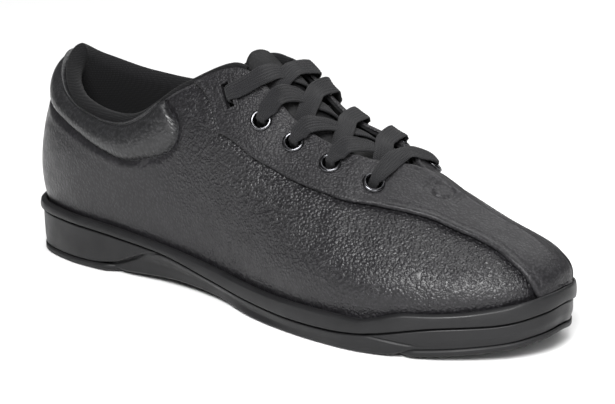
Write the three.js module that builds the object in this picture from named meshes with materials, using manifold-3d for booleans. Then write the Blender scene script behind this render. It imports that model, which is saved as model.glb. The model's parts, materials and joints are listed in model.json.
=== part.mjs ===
// Right-foot lace-up bowling shoe: a rubber cup sole, a leather upper with a centre overlay that
// forms both eyestays and the strip to the toe, a padded collar, a padded tongue and one flat lace.
//
// Millimetres, +X to the toe, +Y to the inner (medial) side, +Z up. The upper is one smooth last
// surface. A place on it is (side, u, h): side -1 is the outer (lateral) half and +1 the medial
// half, u runs from 0 at the toe tip to 12 at the middle of the heel back, and h from 0 at the
// feather line, where the upper meets the sole, to 1 at the ridge, the eyestay edge or the collar
// crest. Every leather, board and lining layer is a slab between two offsets from that surface.
import * as THREE from 'three';
import { mergeVertices } from 'three/addons/utils/BufferGeometryUtils.js';
import Module from 'manifold-3d';

const wasm = await Module();
wasm.setup();

// ---- driving dimensions -------------------------------------------------------------------
const LATERAL = -1;
const MEDIAL = 1;
const TOE = 0;
const THROAT = 4; // station where the two eyestays part
const HEEL = 12;

// Feather line of each half at u = 0..12: x and y.
const LATERAL_OUTLINE = [
  [272.5, 8.5], [271, -4], [262, -18], [240, -34], [212, -43.5], [182, -43], [152, -37],
  [124, -32], [96, -29.5], [66, -29], [36, -27.5], [13, -19], [3, 0],
];
const MEDIAL_OUTLINE = [
  [272.5, 8.5], [269, 20], [258, 33], [238, 41.5], [212, 44.5], [182, 41.5], [152, 33],
  [124, 27.5], [96, 26.5], [66, 28], [36, 27.5], [13, 19], [3, 0],
];
const FEATHER_Z = [27, 25.6, 22.3, 18.6, 15.5, 13.7, 13.4, 15.9, 18.7, 21.3, 22.6, 23.1, 22.8];
// Ridge, eyestay edge and collar crest at u = 0..12: x, centre y, z, half gap between the sides.
const TOP_LINE = [
  [272.5, 8.5, 27, 0], [271.5, 8.2, 34.6, 0], [260, 7.4, 43.8, 0], [235, 5.6, 52.9, 0],
  [207, 4, 65, 0], [184, 2, 71, 14.5], [159, -1, 80.3, 15.5], [131, -3, 99.8, 15.5],
  [102, -1, 88.9, 24.5], [74, 0, 70.4, 30], [42, 0, 71, 25.5], [21, 0, 79.6, 14.5],
  [13.5, 0, 88.5, 0],
];
const MEDIAL_RISE = [0, 0, 0, 0, 0, -1.1, -2, -2, 2.6, 5.3, 5, 2.9, 0];
// Shape of each profile from feather to top: lower handle share of the height and its outward
// lean in degrees, upper handle share, its angle below level and its turn in plan, in degrees.
const PROFILE = [
  [0.4, 8, 0.4, 0, 0], [0.4, 8, 0.42, 6, 0], [0.42, 8, 0.38, 13, 0], [0.42, 12, 0.36, 19, 0],
  [0.42, 14, 0.36, 24, 0], [0.42, 12, 0.36, 30, 0], [0.4, 9, 0.36, 40, 0], [0.38, 6, 0.34, 52, 0],
  [0.38, 5, 0.3, 66, 0], [0.38, 7, 0.3, 62, 4], [0.4, 10, 0.3, 60, 22], [0.4, 12, 0.3, 60, 55],
  [0.4, 12, 0.3, 60, 90],
];

// Sole, at u = 0..12: groove under the rand, underside, and how far the side wall stands out
// from the feather line under the groove, half-way down and at its foot.
const GROOVE_Z = [21, 19, 16, 13.8, 8.4, 6.8, 7.2, 10.6, 15.2, 17.7, 19, 19, 18.6];
const GROUND_Z = [9, 7.4, 4.8, 2, 0, 0, 0.2, 1.8, 2.8, 1.2, 0, 0, 0];
const WALL = [
  [2, 2, 1.2], [2, 2, 1.2], [2, 2, 1.2], [2, 1.8, 1], [1.8, 1.4, 0.7], [1.8, 1.5, 1.4],
  [1.8, 1.6, 2], [1.6, -1, -2], [1.6, -1.6, -2.6], [1.6, 0.8, 0.2], [1.8, 1, 0.4],
  [1.8, 1, 0.4], [1.8, 1, 0.4],
];
const OUTSOLE_THICK = 2.6;
const RAND_OUT = 3; // rand face outside the feather line
const RAND_CREST = 0.9; // rand crest above the feather line
const CUP_DEPTH = 4.7; // footbed recess below the feather line
const BOARD_TOP = 2.8;
const BOARD_THICK = 1.5;
const INSOLE_THICK = 4;
const INSOLE_INSET = 6.4;
const GAP = 0.35; // air between neighbouring pieces
const TUCK = 0.022; // how far the upper reaches below the feather line, as h (100 mm per unit)

// Layers of the upper as offsets from the last surface, inner then outer.
const OVERLAY = [0.45, 1.5];
const SHELL = [-1.2, 0];
const STIFFENER = [-2.8, -1.7];
const LINING_INNER = -4.7;
const LINING_OUTER = -2.1;
const LINING_OUTER_STIFF = -3.3;
const TONGUE_TOP = -7;
const TONGUE_SKIN = 1;
const TONGUE_FOAM = 3.2;
const TONGUE_LINING = 0.8;
const COLLAR_SKIN = 1;

// Lower edge of the overlay as (u, h) on each half; below it the quarters are in view.
const LATERAL_SEAM = [
  [1.05, -0.015], [1.27, 0.21], [1.65, 0.44], [2.05, 0.57], [2.46, 0.68], [2.85, 0.717],
  [3.3, 0.72], [3.74, 0.686], [4.1, 0.66], [4.6, 0.672], [5.1, 0.687], [6, 0.692], [6.45, 0.66],
  [7.04, 0.654], [7.36, 0.81], [7.71, 0.96], [7.8, 0.995],
];
const MEDIAL_SEAM = [
  [0.75, -0.015], [1, 0.25], [1.3, 0.5], [1.65, 0.7], [2.05, 0.8], [2.46, 0.86], [2.85, 0.885],
  [3.3, 0.885], [3.74, 0.85], [4.1, 0.79], [4.6, 0.74], [5.1, 0.71], [6, 0.692], [6.45, 0.66],
  [7.04, 0.654], [7.36, 0.81], [7.71, 0.96], [7.8, 0.995],
];
const OVERLAY_END = 7.8;
const UNDERLAP = 7; // quarter leather hidden under the overlay
const COLLAR_START = 8;
const COLLAR_LINE = [ // stitched lower edge of the collar padding, (u, h)
  [8, 0.6], [8.25, 0.565], [8.55, 0.58], [8.9, 0.62], [9.16, 0.667], [9.48, 0.72], [9.84, 0.767],
  [10.27, 0.785], [11, 0.75], [12, 0.735],
];
const COLLAR_UNDERLAP = 2.5;

const EYELETS = [[6.47, 0.849], [5.923, 0.887], [5.19, 0.874], [4.418, 0.811]]; // rows 1 to 4
// Top row: a slot for the flat lace, its upper end leaning back by that many degrees.
const SLOT = { u: 7.06, h: 0.85, length: 11.6, width: 3.6, lean: 40 };
// The patch round it leans with it: reach along the upper, half height and rise, in u and h.
const SLOT_PATCH = { front: 0.21, back: 0.18, half: 0.072, rise: 0.35, inner: 2.1, outer: 2.9 };
const EYELET_BORE = 2.9;
const EYELET_TUBE = 3.3;
const EYELET_FLANGE = 4.7;
const EYELET_BACK_FLANGE = 3.9;
const EYELET_HOLE = 3.65;
const LACE_WIDTH = 8;
const LACE_THICK = 1.2;

const STATIONS = [0, 0.3, 0.65, 1.05, 1.4, 1.8, 2.2, 2.6, 3, 3.5, 4, 4.2, 4.45, 4.75, 5.1, 5.5,
  6, 6.5, 7, 7.4, 7.8, 7.97, 8, 8.5, 9, 9.5, 10, 10.5, 11, 11.4, 11.75, 12];

// ---- interpolation ------------------------------------------------------------------------
const clamp = THREE.MathUtils.clamp;
const radians = THREE.MathUtils.degToRad;
const smooth = THREE.MathUtils.smoothstep;
const vec = (x, y, z) => new THREE.Vector3(x, y, z);

// Uniform Catmull-Rom curve through equally spaced keys; a key is a number or a row of numbers.
// before and after are the keys just past its two ends; without them it runs out straight.
function curve(keys, at, before, after) {
  const last = keys.length - 1;
  const t = clamp(at, 0, last);
  const i = Math.min(Math.floor(t), last - 1);
  const f = t - i;
  const asRow = (key) => (Array.isArray(key) ? key : [key]);
  const row = (k) => asRow(keys[k]);
  const runOut = (end, next) => row(end).map((v, n) => 2 * v - row(next)[n]);
  const first = before === undefined ? runOut(0, 1) : asRow(before);
  const beyond = after === undefined ? runOut(last, last - 1) : asRow(after);
  const p0 = i > 0 ? row(i - 1) : first;
  const p1 = row(i);
  const p2 = row(i + 1);
  const p3 = i + 2 <= last ? row(i + 2) : beyond;
  return p1.map((v, n) => 0.5 * (2 * v + (p2[n] - p0[n]) * f
    + (2 * p0[n] - 5 * v + 4 * p2[n] - p3[n]) * f * f
    + (3 * v - p0[n] - 3 * p2[n] + p3[n]) * f ** 3));
}

// Straight-line interpolation in a list of (key, value) pairs.
function lookup(pairs, at) {
  if (at <= pairs[0][0]) return pairs[0][1];
  for (let i = 1; i < pairs.length; i += 1) {
    const [a, va] = pairs[i - 1];
    const [b, vb] = pairs[i];
    if (at <= b) return va + ((vb - va) * (at - a)) / (b - a);
  }
  return pairs[pairs.length - 1][1];
}

// ---- last surface -------------------------------------------------------------------------
// A sole dimension is alike on both halves, so its curve is level at the toe tip and heel back.
const both = (keys, u) => curve(keys, u, keys[1], keys[keys.length - 2]);

// The feather line of each half runs on round the toe tip and the heel back into the other.
function outline(side, u) {
  const outlines = [LATERAL_OUTLINE, MEDIAL_OUTLINE];
  const [mine, other] = side === LATERAL ? outlines : outlines.reverse();
  return curve(mine, u, other[1], other[other.length - 2]);
}

// Outward unit normal of the feather line in plan. Past either end it reads the other half.
function planNormal(side, u) {
  const step = 1e-3;
  const at = (v) => {
    if (v < TOE) return outline(-side, -v);
    if (v > HEEL) return outline(-side, 2 * HEEL - v);
    return outline(side, v);
  };
  const a = at(u - step);
  const b = at(u + step);
  return vec(side * (b[1] - a[1]), -side * (b[0] - a[0]), 0).normalize();
}

function feather(side, u) {
  const [x, y] = outline(side, u);
  return vec(x, y, both(FEATHER_Z, u)[0]);
}

function topLine(side, u) {
  const [nearX, nearY, nearZ, nearHalf] = TOP_LINE[TOP_LINE.length - 2];
  const [x, y, z, half] = curve(TOP_LINE, u, undefined, [nearX, nearY, nearZ, -nearHalf]);
  const open = clamp(u - THROAT, 0, 0.9);
  const ramp = Math.sqrt(clamp(open / 0.5, 0, 1)) * (1 + 0.9 * (0.9 - open) * clamp(4 * open, 0, 1));
  const gap = Math.max(half, 0) * (u > THROAT ? ramp : 0);
  const rise = side === MEDIAL && u > THROAT ? curve(MEDIAL_RISE, u)[0] : 0;
  return vec(x, y + side * gap, z + rise);
}

function lastPoint(side, u, h) {
  if (u < TOE) return lastPoint(-side, -u, h);
  if (u > HEEL) return lastPoint(-side, 2 * HEEL - u, h);
  if (h > 1 && u <= THROAT) return lastPoint(-side, u, 2 - h);
  const low = feather(side, u);
  if (h < 0) return low.add(vec(0, 0, 100 * h));
  const top = topLine(side, u);
  const [lowShare, lean, topShare, fall, turn] = curve(PROFILE, u);
  const reach = low.distanceTo(top);
  const out = vec(-Math.sin(radians(turn)), side * Math.cos(radians(turn)), 0);
  const rise = planNormal(side, u).multiplyScalar(Math.sin(radians(lean)));
  rise.z = Math.cos(radians(lean));
  const a = low.clone().addScaledVector(rise, lowShare * reach);
  const drop = out.multiplyScalar(Math.cos(radians(fall)));
  drop.z = -Math.sin(radians(fall));
  const b = top.clone().addScaledVector(drop, topShare * reach);
  const g = 1 - h;
  return low.multiplyScalar(g ** 3)
    .addScaledVector(a, 3 * g * g * h)
    .addScaledVector(b, 3 * g * h * h)
    .addScaledVector(top, h ** 3);
}

function lastNormal(side, u, h) {
  if (h < 0 || u < 1e-6) return planNormal(side, u);
  const step = 2e-3;
  const hi = u <= THROAT ? h + step : Math.min(h + step, 1);
  const alongH = lastPoint(side, u, hi).sub(lastPoint(side, u, Math.max(h - step, 0)));
  const ahead = u <= THROAT ? Math.min(u + step, THROAT) : u + step;
  const alongU = lastPoint(side, ahead, h).sub(lastPoint(side, u - step, h));
  return alongU.cross(alongH).multiplyScalar(side).normalize();
}

const surface = (side, u, h, off) => lastPoint(side, u, h).addScaledVector(lastNormal(side, u, h), off);
const height = (side, u) => Math.max(feather(side, u).distanceTo(topLine(side, u)), 1);

// The arch that carries each half's surface on across the gap between the eyestays:
// across runs from -1 at the lateral eyestay edge to 1 at the medial one.
function arch(u, across, off) {
  const ends = [LATERAL, MEDIAL].map((side) => {
    const edge = surface(side, u, 1, off);
    const dir = edge.clone().sub(surface(side, u, 0.97, off)).normalize();
    return { edge, dir };
  });
  const reach = ends[0].edge.distanceTo(ends[1].edge) / 3;
  const t = (across + 1) / 2;
  const a = ends[0].edge.clone().addScaledVector(ends[0].dir, reach);
  const b = ends[1].edge.clone().addScaledVector(ends[1].dir, reach);
  return ends[0].edge.multiplyScalar((1 - t) ** 3)
    .addScaledVector(a, 3 * (1 - t) ** 2 * t)
    .addScaledVector(b, 3 * (1 - t) * t * t)
    .addScaledVector(ends[1].edge, t ** 3);
}

// ---- solids from grids --------------------------------------------------------------------
// Collects quads given by their corner points, merges equal corners, drops flat triangles and
// turns the whole skin outwards.
class Skin {
  constructor() {
    this.points = [];
    this.keys = new Map();
    this.faces = [];
  }

  corner(p) {
    const key = [p.x, p.y, p.z].map((v) => Math.round(v * 1000)).join(' ');
    if (!this.keys.has(key)) {
      this.keys.set(key, this.points.length);
      this.points.push(p);
    }
    return this.keys.get(key);
  }

  triangle(a, b, c) {
    const ids = [a, b, c].map((p) => this.corner(p));
    if (new Set(ids).size === 3) this.faces.push(ids);
  }

  quad(a, b, c, d) {
    this.triangle(a, b, c);
    this.triangle(a, c, d);
  }

  sheet(grid, flip) {
    for (let i = 0; i + 1 < grid.length; i += 1) {
      for (let j = 0; j + 1 < grid[i].length; j += 1) {
        const cell = [grid[i][j], grid[i + 1][j], grid[i + 1][j + 1], grid[i][j + 1]];
        if (flip) cell.reverse();
        this.quad(...cell);
      }
    }
  }

  volume() {
    return this.faces.reduce((sum, [a, b, c]) => {
      const [p, q, r] = [a, b, c].map((i) => this.points[i]);
      return sum + p.dot(q.clone().cross(r)) / 6;
    }, 0);
  }

  geometry() {
    const flip = this.volume() < 0;
    const out = new THREE.BufferGeometry();
    const numbers = this.points.flatMap((p) => p.toArray());
    out.setAttribute('position', new THREE.Float32BufferAttribute(numbers, 3));
    out.setIndex(this.faces.flatMap((f) => (flip ? [...f].reverse() : f)));
    return out;
  }
}

// A slab between two grids of the same size; open names the edges that need no wall because
// another grid joins there: i0, i1, j0, j1, or j1Until for the rows up to one station.
function addSlab(skin, outer, inner, open, mirror) {
  skin.sheet(outer, mirror);
  skin.sheet(inner, !mirror);
  const rows = outer.length - 1;
  const cols = outer[0].length - 1;
  const wall = (a, b, c, d) => (mirror ? skin.quad(d, c, b, a) : skin.quad(a, b, c, d));
  for (let i = 0; i < rows; i += 1) {
    if (!open.j0) wall(outer[i][0], inner[i][0], inner[i + 1][0], outer[i + 1][0]);
    if (i >= (open.j1Until ?? 0)) {
      wall(outer[i + 1][cols], inner[i + 1][cols], inner[i][cols], outer[i][cols]);
    }
  }
  for (let j = 0; j < cols; j += 1) {
    if (!open.i0) wall(outer[0][j + 1], inner[0][j + 1], inner[0][j], outer[0][j]);
    if (!open.i1) wall(outer[rows][j], inner[rows][j], inner[rows][j + 1], outer[rows][j + 1]);
  }
}

function stationsBetween(from, to) {
  const inside = STATIONS.filter((u) => u > from + 0.02 && u < to - 0.02);
  return [from, ...inside, to];
}

// One layer of the upper over part of one or both halves. low and high give h at (side, u),
// inner and outer the offsets at (side, u, h). Halves meet over the ridge up to the throat when
// overRidge is set, at the toe tip when from is 0, and at the heel when to is 12.
function layer({ sides, from, to, low, high, inner, outer, rows, overRidge }) {
  const skin = new Skin();
  for (const side of sides) {
    const us = stationsBetween(from(side), to(side));
    const grid = (offset) => us.map((u) => {
      const a = low(side, u);
      const b = Math.max(high(side, u), a);
      const hs = [a];
      const foot = a < 0 && b > 0 ? 0 : a;
      if (foot !== a) hs.push(foot);
      for (let j = 1; j <= rows; j += 1) hs.push(foot + ((b - foot) * j) / rows);
      return hs.map((h) => surface(side, u, h, offset(side, u, h)));
    });
    const square = (g) => {
      const most = Math.max(...g.map((r) => r.length));
      return g.map((r) => (r.length < most ? [r[0], ...r] : r));
    };
    const open = {
      i0: from(side) === TOE,
      i1: to(side) === HEEL && sides.length === 2,
      j1Until: overRidge ? us.filter((u) => u <= THROAT).length - 1 : 0,
    };
    addSlab(skin, square(grid(outer)), square(grid(inner)), open, side === MEDIAL);
  }
  return skin.geometry();
}

const constant = (value) => () => value;

// A ring of closed profiles around the foot outline, capped above and below by ladders of
// quads between the two halves. profile gives (offset, z) pairs from the top cap's edge down.
function footprintSolid(profile) {
  const skin = new Skin();
  const us = STATIONS;
  const wall = (side) => us.map((u) => {
    const n = planNormal(side, u);
    const [x, y] = outline(side, u);
    return profile(u).map(([off, z]) => vec(x + n.x * off, y + n.y * off, z));
  });
  const lateral = wall(LATERAL);
  const medial = wall(MEDIAL);
  skin.sheet(lateral, true);
  skin.sheet(medial, false);
  const foot = lateral[0].length - 1;
  for (let i = 0; i + 1 < us.length; i += 1) {
    skin.quad(lateral[i + 1][0], medial[i + 1][0], medial[i][0], lateral[i][0]);
    skin.quad(lateral[i][foot], medial[i][foot], medial[i + 1][foot], lateral[i + 1][foot]);
  }
  return skin.geometry();
}

// ---- booleans -----------------------------------------------------------------------------
function toSolid(geometry) {
  const bare = geometry.clone();
  bare.deleteAttribute('normal');
  bare.deleteAttribute('uv');
  const merged = mergeVertices(bare, 1e-4);
  return new wasm.Manifold(new wasm.Mesh({
    numProp: 3,
    vertProperties: new Float32Array(merged.attributes.position.array),
    triVerts: new Uint32Array(merged.index.array),
  }));
}

function fromSolid(solid) {
  const mesh = solid.getMesh();
  const out = new THREE.BufferGeometry();
  out.setAttribute('position', new THREE.BufferAttribute(new Float32Array(mesh.vertProperties), 3));
  out.setIndex(new THREE.BufferAttribute(new Uint32Array(mesh.triVerts), 1));
  return out;
}

function cut(geometry, cutters) {
  const solid = cutters.reduce((whole, c) => whole.subtract(toSolid(c)), toSolid(geometry));
  return fromSolid(solid);
}

// Turns a tool built along +Z so that it stands on the last surface at (side, u, h); its X axis
// runs up the profile.
function standOn(geometry, side, u, h) {
  const z = lastNormal(side, u, h);
  const up = lastPoint(side, u, h + 0.01).sub(lastPoint(side, u, h - 0.01));
  const x = up.addScaledVector(z, -up.dot(z)).normalize();
  const frame = new THREE.Matrix4().makeBasis(x, z.clone().cross(x), z);
  frame.setPosition(lastPoint(side, u, h));
  return geometry.applyMatrix4(frame);
}

// ---- materials ----------------------------------------------------------------------------
function material(color, roughness, metalness) {
  return new THREE.MeshStandardMaterial({ color, roughness, metalness });
}

const GRAIN_LEATHER = material(0x1f1f20, 0.5, 0);
const SMOOTH_LEATHER = material(0x242426, 0.42, 0);
const SOLE_RUBBER = material(0x2c2c2e, 0.6, 0);
const TEXTILE = material(0x161617, 0.9, 0);
const LACE_TEXTILE = material(0x19191a, 0.85, 0);
const FOAM = material(0x3a3a3c, 0.95, 0);
const BOARD = material(0x6b5f4c, 0.85, 0);
const STIFF_BOARD = material(0x8c8577, 0.8, 0);
const SPRING_STEEL = material(0x9a9ca0, 0.35, 1);
const EYELET_METAL = material(0x77787c, 0.28, 1);
const PLASTIC = material(0x1c1c1d, 0.35, 0);

// ---- sole ---------------------------------------------------------------------------------
const featherZ = (u) => both(FEATHER_Z, u)[0];
const groundZ = (u) => Math.max(both(GROUND_Z, u)[0], 0);
const wallOffsets = (u) => both(WALL, u);
// The strip at the toe is thicker than the quarters, so the rand stands off it there.
const randInner = (u) => 0.5 + 1.7 * (1 - smooth(u, 1.5, 2));

function midsoleBody() {
  return footprintSolid((u) => {
    const top = featherZ(u);
    const groove = both(GROOVE_Z, u)[0];
    const band = top - groove;
    const foot = groundZ(u) + OUTSOLE_THICK + GAP;
    const [under, middle, low] = wallOffsets(u);
    const inner = randInner(u);
    return [
      [inner, top - CUP_DEPTH], [inner, top + 0.5], [(inner + RAND_OUT) / 2, top + RAND_CREST],
      [RAND_OUT, top - 0.1 * band], [RAND_OUT + 0.3, groove + 0.5 * band],
      [RAND_OUT - 0.2, groove + 0.9], [RAND_OUT - 1.2, groove],
      [under, groove - 0.8], [middle, (groove + foot) / 2], [low, foot],
    ];
  });
}

const SHANK = { from: 72, to: 162, half: 6, thick: 1.2 };
const CUSHION = { x: 38, r: 18, thick: 5, z: 11.6 };

const stationOfX = (x) => {
  let [a, b] = [TOE, HEEL];
  for (let i = 0; i < 30; i += 1) {
    const middle = (a + b) / 2;
    if (outline(LATERAL, middle)[0] > x) a = middle;
    else b = middle;
  }
  return a;
};
const footbedZ = (x) => featherZ(stationOfX(x)) - CUP_DEPTH;

// A flat bar along X whose top follows the footbed recess at the given depth.
function barAlong(from, to, half, depth, thick) {
  const skin = new Skin();
  const steps = 10;
  const ring = (k) => {
    const x = from + ((to - from) * k) / steps;
    const z = footbedZ(x) - depth;
    return [vec(x, -half, z), vec(x, half, z), vec(x, half, z - thick), vec(x, -half, z - thick)];
  };
  for (let k = 0; k < steps; k += 1) {
    const [a, b] = [ring(k), ring(k + 1)];
    for (let n = 0; n < 4; n += 1) skin.quad(a[n], b[n], b[(n + 1) % 4], a[(n + 1) % 4]);
  }
  skin.quad(...ring(0));
  skin.quad(...ring(steps).reverse());
  return skin.geometry();
}

function disc(r, low, high, x, sides = 28) {
  const shape = new THREE.CylinderGeometry(r, r, high - low, sides);
  return shape.rotateX(Math.PI / 2).translate(x, 0, (low + high) / 2);
}

const shank = () => barAlong(SHANK.from, SHANK.to, SHANK.half, 0.4, SHANK.thick);
const heelCushion = () => disc(CUSHION.r, CUSHION.z, CUSHION.z + CUSHION.thick, CUSHION.x);

function midsole() {
  const shankBed = barAlong(SHANK.from - 1, SHANK.to + 1, SHANK.half + 0.5, -2, SHANK.thick + 3);
  const cushionBed = disc(CUSHION.r + 0.5, CUSHION.z - GAP, CUSHION.z + 12, CUSHION.x);
  return cut(midsoleBody(), [shankBed, cushionBed]);
}

// Cross grooves moulded in the tread: x places for the forefoot and the heel.
const TREAD = {
  forefoot: { from: 168, to: 228, count: 7, half: 30 },
  heel: { from: 22, to: 58, count: 4, half: 17 },
  width: 2.4,
  depth: 1.5,
};

function outsole() {
  const body = footprintSolid((u) => {
    const ground = groundZ(u);
    const edge = wallOffsets(u)[2] + 0.5;
    return [[edge, ground + OUTSOLE_THICK], [edge, ground + 1.6], [edge - 1.2, ground]];
  });
  const grooves = [TREAD.forefoot, TREAD.heel].flatMap(({ from, to, count, half }) => (
    Array.from({ length: count }, (_, k) => {
      const x = from + ((to - from) * k) / (count - 1);
      const tool = new THREE.BoxGeometry(TREAD.width, 2 * half, 4);
      return tool.translate(x, 0, groundZ(stationOfX(x)) + TREAD.depth - 2);
    })
  ));
  return cut(body, grooves);
}

const insoleBoard = () => footprintSolid((u) => {
  const top = featherZ(u) - BOARD_TOP;
  return [[0, top], [0, top - BOARD_THICK]];
});

// The insole stops short of the toe and thins towards it.
const insole = () => footprintSolid((u) => {
  const low = featherZ(u) - BOARD_TOP + GAP;
  const toe = 1 - smooth(u, 0, 1.4);
  const edge = -INSOLE_INSET - 3.5 * toe;
  const top = low + INSOLE_THICK - 1.8 * toe;
  return [[edge - 1, top], [edge, top - 1], [edge, low]];
});

// ---- upper --------------------------------------------------------------------------------
const seam = (side, u) => lookup(side === LATERAL ? LATERAL_SEAM : MEDIAL_SEAM, u);
const seamStart = (side) => (side === LATERAL ? LATERAL_SEAM : MEDIAL_SEAM)[0][0];
const collarLine = (u) => lookup(COLLAR_LINE, u);

// Top edge of a quarter: under the overlay, up to the top line behind it, then just above the
// collar's stitched edge.
function quarterTop(side, u) {
  if (u >= COLLAR_START) return collarLine(u) + COLLAR_UNDERLAP / height(side, u);
  const under = Math.min(seam(side, u) + UNDERLAP / height(side, u), 0.955);
  return u > 6.6 ? Math.min(under + (1 - under) * smooth(u, 6.8, 7.35), 1) : under;
}

const bothSides = [LATERAL, MEDIAL];
const flat = (offsets) => ({ inner: constant(offsets[0]), outer: constant(offsets[1]) });

const eyeletPlaces = bothSides.flatMap((side) => (
  EYELETS.map(([u, h], k) => ({ side, u, h, row: k + 1 }))));

const eyeletHole = ({ side, u, h }) => {
  const tool = new THREE.CylinderGeometry(EYELET_HOLE, EYELET_HOLE, 8, 12).rotateX(Math.PI / 2);
  return standOn(tool, side, u, h);
};

function slotHole(side) {
  const tool = new THREE.BoxGeometry(SLOT.length, SLOT.width, 10);
  tool.rotateZ(-side * radians(SLOT.lean));
  return standOn(tool, side, SLOT.u, SLOT.h);
}

function holesOf(side) {
  const places = eyeletPlaces.filter((place) => place.side === side);
  return [...places.map(eyeletHole), slotHole(side)];
}

const overlay = () => cut(layer({
  sides: bothSides, from: constant(TOE), to: constant(OVERLAY_END), overRidge: true, rows: 5,
  low: seam, high: constant(1), ...flat(OVERLAY),
}), [...holesOf(LATERAL), ...holesOf(MEDIAL)]);

const quarter = (side) => cut(layer({
  sides: [side], from: (s) => seamStart(s) - 0.05, to: constant(HEEL - 0.03),
  low: constant(-TUCK), high: quarterTop, rows: 8, ...flat(SHELL),
}), holesOf(side));

// Eyestay facings and the backing of the strip, between the top edges of the two quarters.
const backingLow = (side, u) => {
  if (u < seamStart(side) - 0.25) return -TUCK;
  return Math.min(quarterTop(side, Math.max(u, seamStart(side))) + 1.9 / height(side, u), 0.988);
};

const centreBacking = () => cut(layer({
  sides: bothSides, from: constant(TOE), to: constant(6.95), overRidge: true, rows: 4, ...flat(SHELL),
  low: backingLow, high: constant(1),
}), [...holesOf(LATERAL), ...holesOf(MEDIAL)]);

// Reinforcing patch round the top slot.
const patchEdge = (half) => (side, u) => SLOT.h + SLOT_PATCH.rise * (u - SLOT.u) + half;

const slotTab = (side) => cut(layer({
  sides: [side], from: constant(SLOT.u - SLOT_PATCH.front), to: constant(SLOT.u + SLOT_PATCH.back),
  low: patchEdge(-SLOT_PATCH.half), high: patchEdge(SLOT_PATCH.half), rows: 4,
  ...flat([SLOT_PATCH.inner, SLOT_PATCH.outer]),
}), [slotHole(side)]);

const toePuff = () => layer({
  sides: bothSides, from: constant(TOE), to: constant(2.2), overRidge: true, rows: 6,
  low: constant(-TUCK), high: constant(1), ...flat(STIFFENER),
});

const heelCounter = () => layer({
  sides: bothSides, from: constant(9.5), to: constant(HEEL), rows: 6,
  low: constant(-TUCK), high: constant(0.55), ...flat(STIFFENER),
});

// Linings are full thickness except over the toe puff and the heel counter.
const overPuff = (u) => 1 - smooth(u, 2.25, 2.6);
const overCounter = (u, h) => smooth(u, 9, 9.45) * (1 - smooth(h, 0.56, 0.62));
const liningOuter = (share) => LINING_OUTER + (LINING_OUTER_STIFF - LINING_OUTER) * share;

const vampLining = () => layer({
  sides: bothSides, from: constant(TOE), to: constant(THROAT - 0.02), overRidge: true, rows: 6,
  low: constant(-TUCK), high: constant(1),
  inner: constant(LINING_INNER), outer: (s, u) => liningOuter(overPuff(u)),
});

function liningTop(side, u) {
  if (u >= COLLAR_START) return quarterTop(side, u);
  const under = Math.min(seam(side, u), seam(LATERAL, u)) - 0.02;
  return u > 6.6 ? under + (1 - under) * smooth(u, 7.2, 7.7) : under;
}

const quarterLining = () => layer({
  sides: bothSides, from: constant(THROAT + 0.02), to: constant(HEEL), rows: 7,
  low: constant(-TUCK), high: liningTop,
  inner: constant(LINING_INNER), outer: (s, u, h) => liningOuter(overCounter(u, h)),
});

// ---- collar -------------------------------------------------------------------------------
// Outer face of the padded collar as (share of the way from the stitched edge to the crest,
// offset from the last surface), from the outside over the crest and down inside.
const COLLAR_SECTION = [
  [0, 1.45], [0.12, 2.4], [0.35, 3.2], [0.65, 3.3], [0.88, 2.4], [1.01, 0.4], [1.05, -2],
  [1, -4.4], [0.85, -6.2], [0.5, -6.9], [0.22, -6.6], [0.02, -6.2],
];
const COLLAR_FOAM = [
  [0.42, 1.3], [0.65, 1.4], [0.84, 0.8], [0.92, -0.6], [0.94, -2], [0.91, -3.4], [0.78, -4.4],
  [0.55, -4.9], [0.42, -4.9],
];

function collarPoint(side, u, [share, off]) {
  const low = collarLine(u);
  const p = surface(side, u, low + (1 - low) * Math.min(share, 1), off);
  if (share <= 1) return p;
  const up = lastPoint(side, u, 1).sub(lastPoint(side, u, 0.96)).normalize();
  return p.addScaledVector(up, (share - 1) * (1 - low) * height(side, u) * 1.6);
}

// The collar's outer face at one station, and the same face moved in by the skin's thickness.
function collarSkin(side, u) {
  const face = COLLAR_SECTION.map((place) => collarPoint(side, u, place));
  const n = planNormal(side, u);
  const along = vec(-n.y, n.x, 0);
  const inside = face.map((p, k) => {
    const next = face[Math.min(k + 1, face.length - 1)];
    const run = next.clone().sub(face[Math.max(k - 1, 0)]).normalize();
    return p.clone().addScaledVector(run.cross(along).normalize(), COLLAR_SKIN);
  });
  return { face, inside };
}

const collarStations = [
  ...STATIONS.filter((u) => u >= COLLAR_START).map((u) => [LATERAL, u]),
  ...STATIONS.filter((u) => u >= COLLAR_START && u < HEEL).reverse().map((u) => [MEDIAL, u]),
];

function collarCover() {
  const skin = new Skin();
  const rings = collarStations.map(([side, u]) => collarSkin(side, u));
  addSlab(skin, rings.map((r) => r.face), rings.map((r) => r.inside), {}, false);
  return skin.geometry();
}

function sweepRings(rings) {
  const skin = new Skin();
  for (let k = 0; k + 1 < rings.length; k += 1) {
    const [a, b] = [rings[k], rings[k + 1]];
    for (let n = 0; n < a.length; n += 1) {
      const m = (n + 1) % a.length;
      skin.quad(a[n], b[n], b[m], a[m]);
    }
  }
  for (const [ring, flip] of [[rings[0], false], [rings[rings.length - 1], true]]) {
    for (let n = 1; n + 1 < ring.length; n += 1) {
      const corners = [ring[0], ring[n], ring[n + 1]];
      skin.triangle(...(flip ? corners.reverse() : corners));
    }
  }
  return skin.geometry();
}

const collarFoam = () => sweepRings(collarStations.map(([side, u]) => (
  COLLAR_FOAM.map((place) => collarPoint(side, u, place)))));

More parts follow.
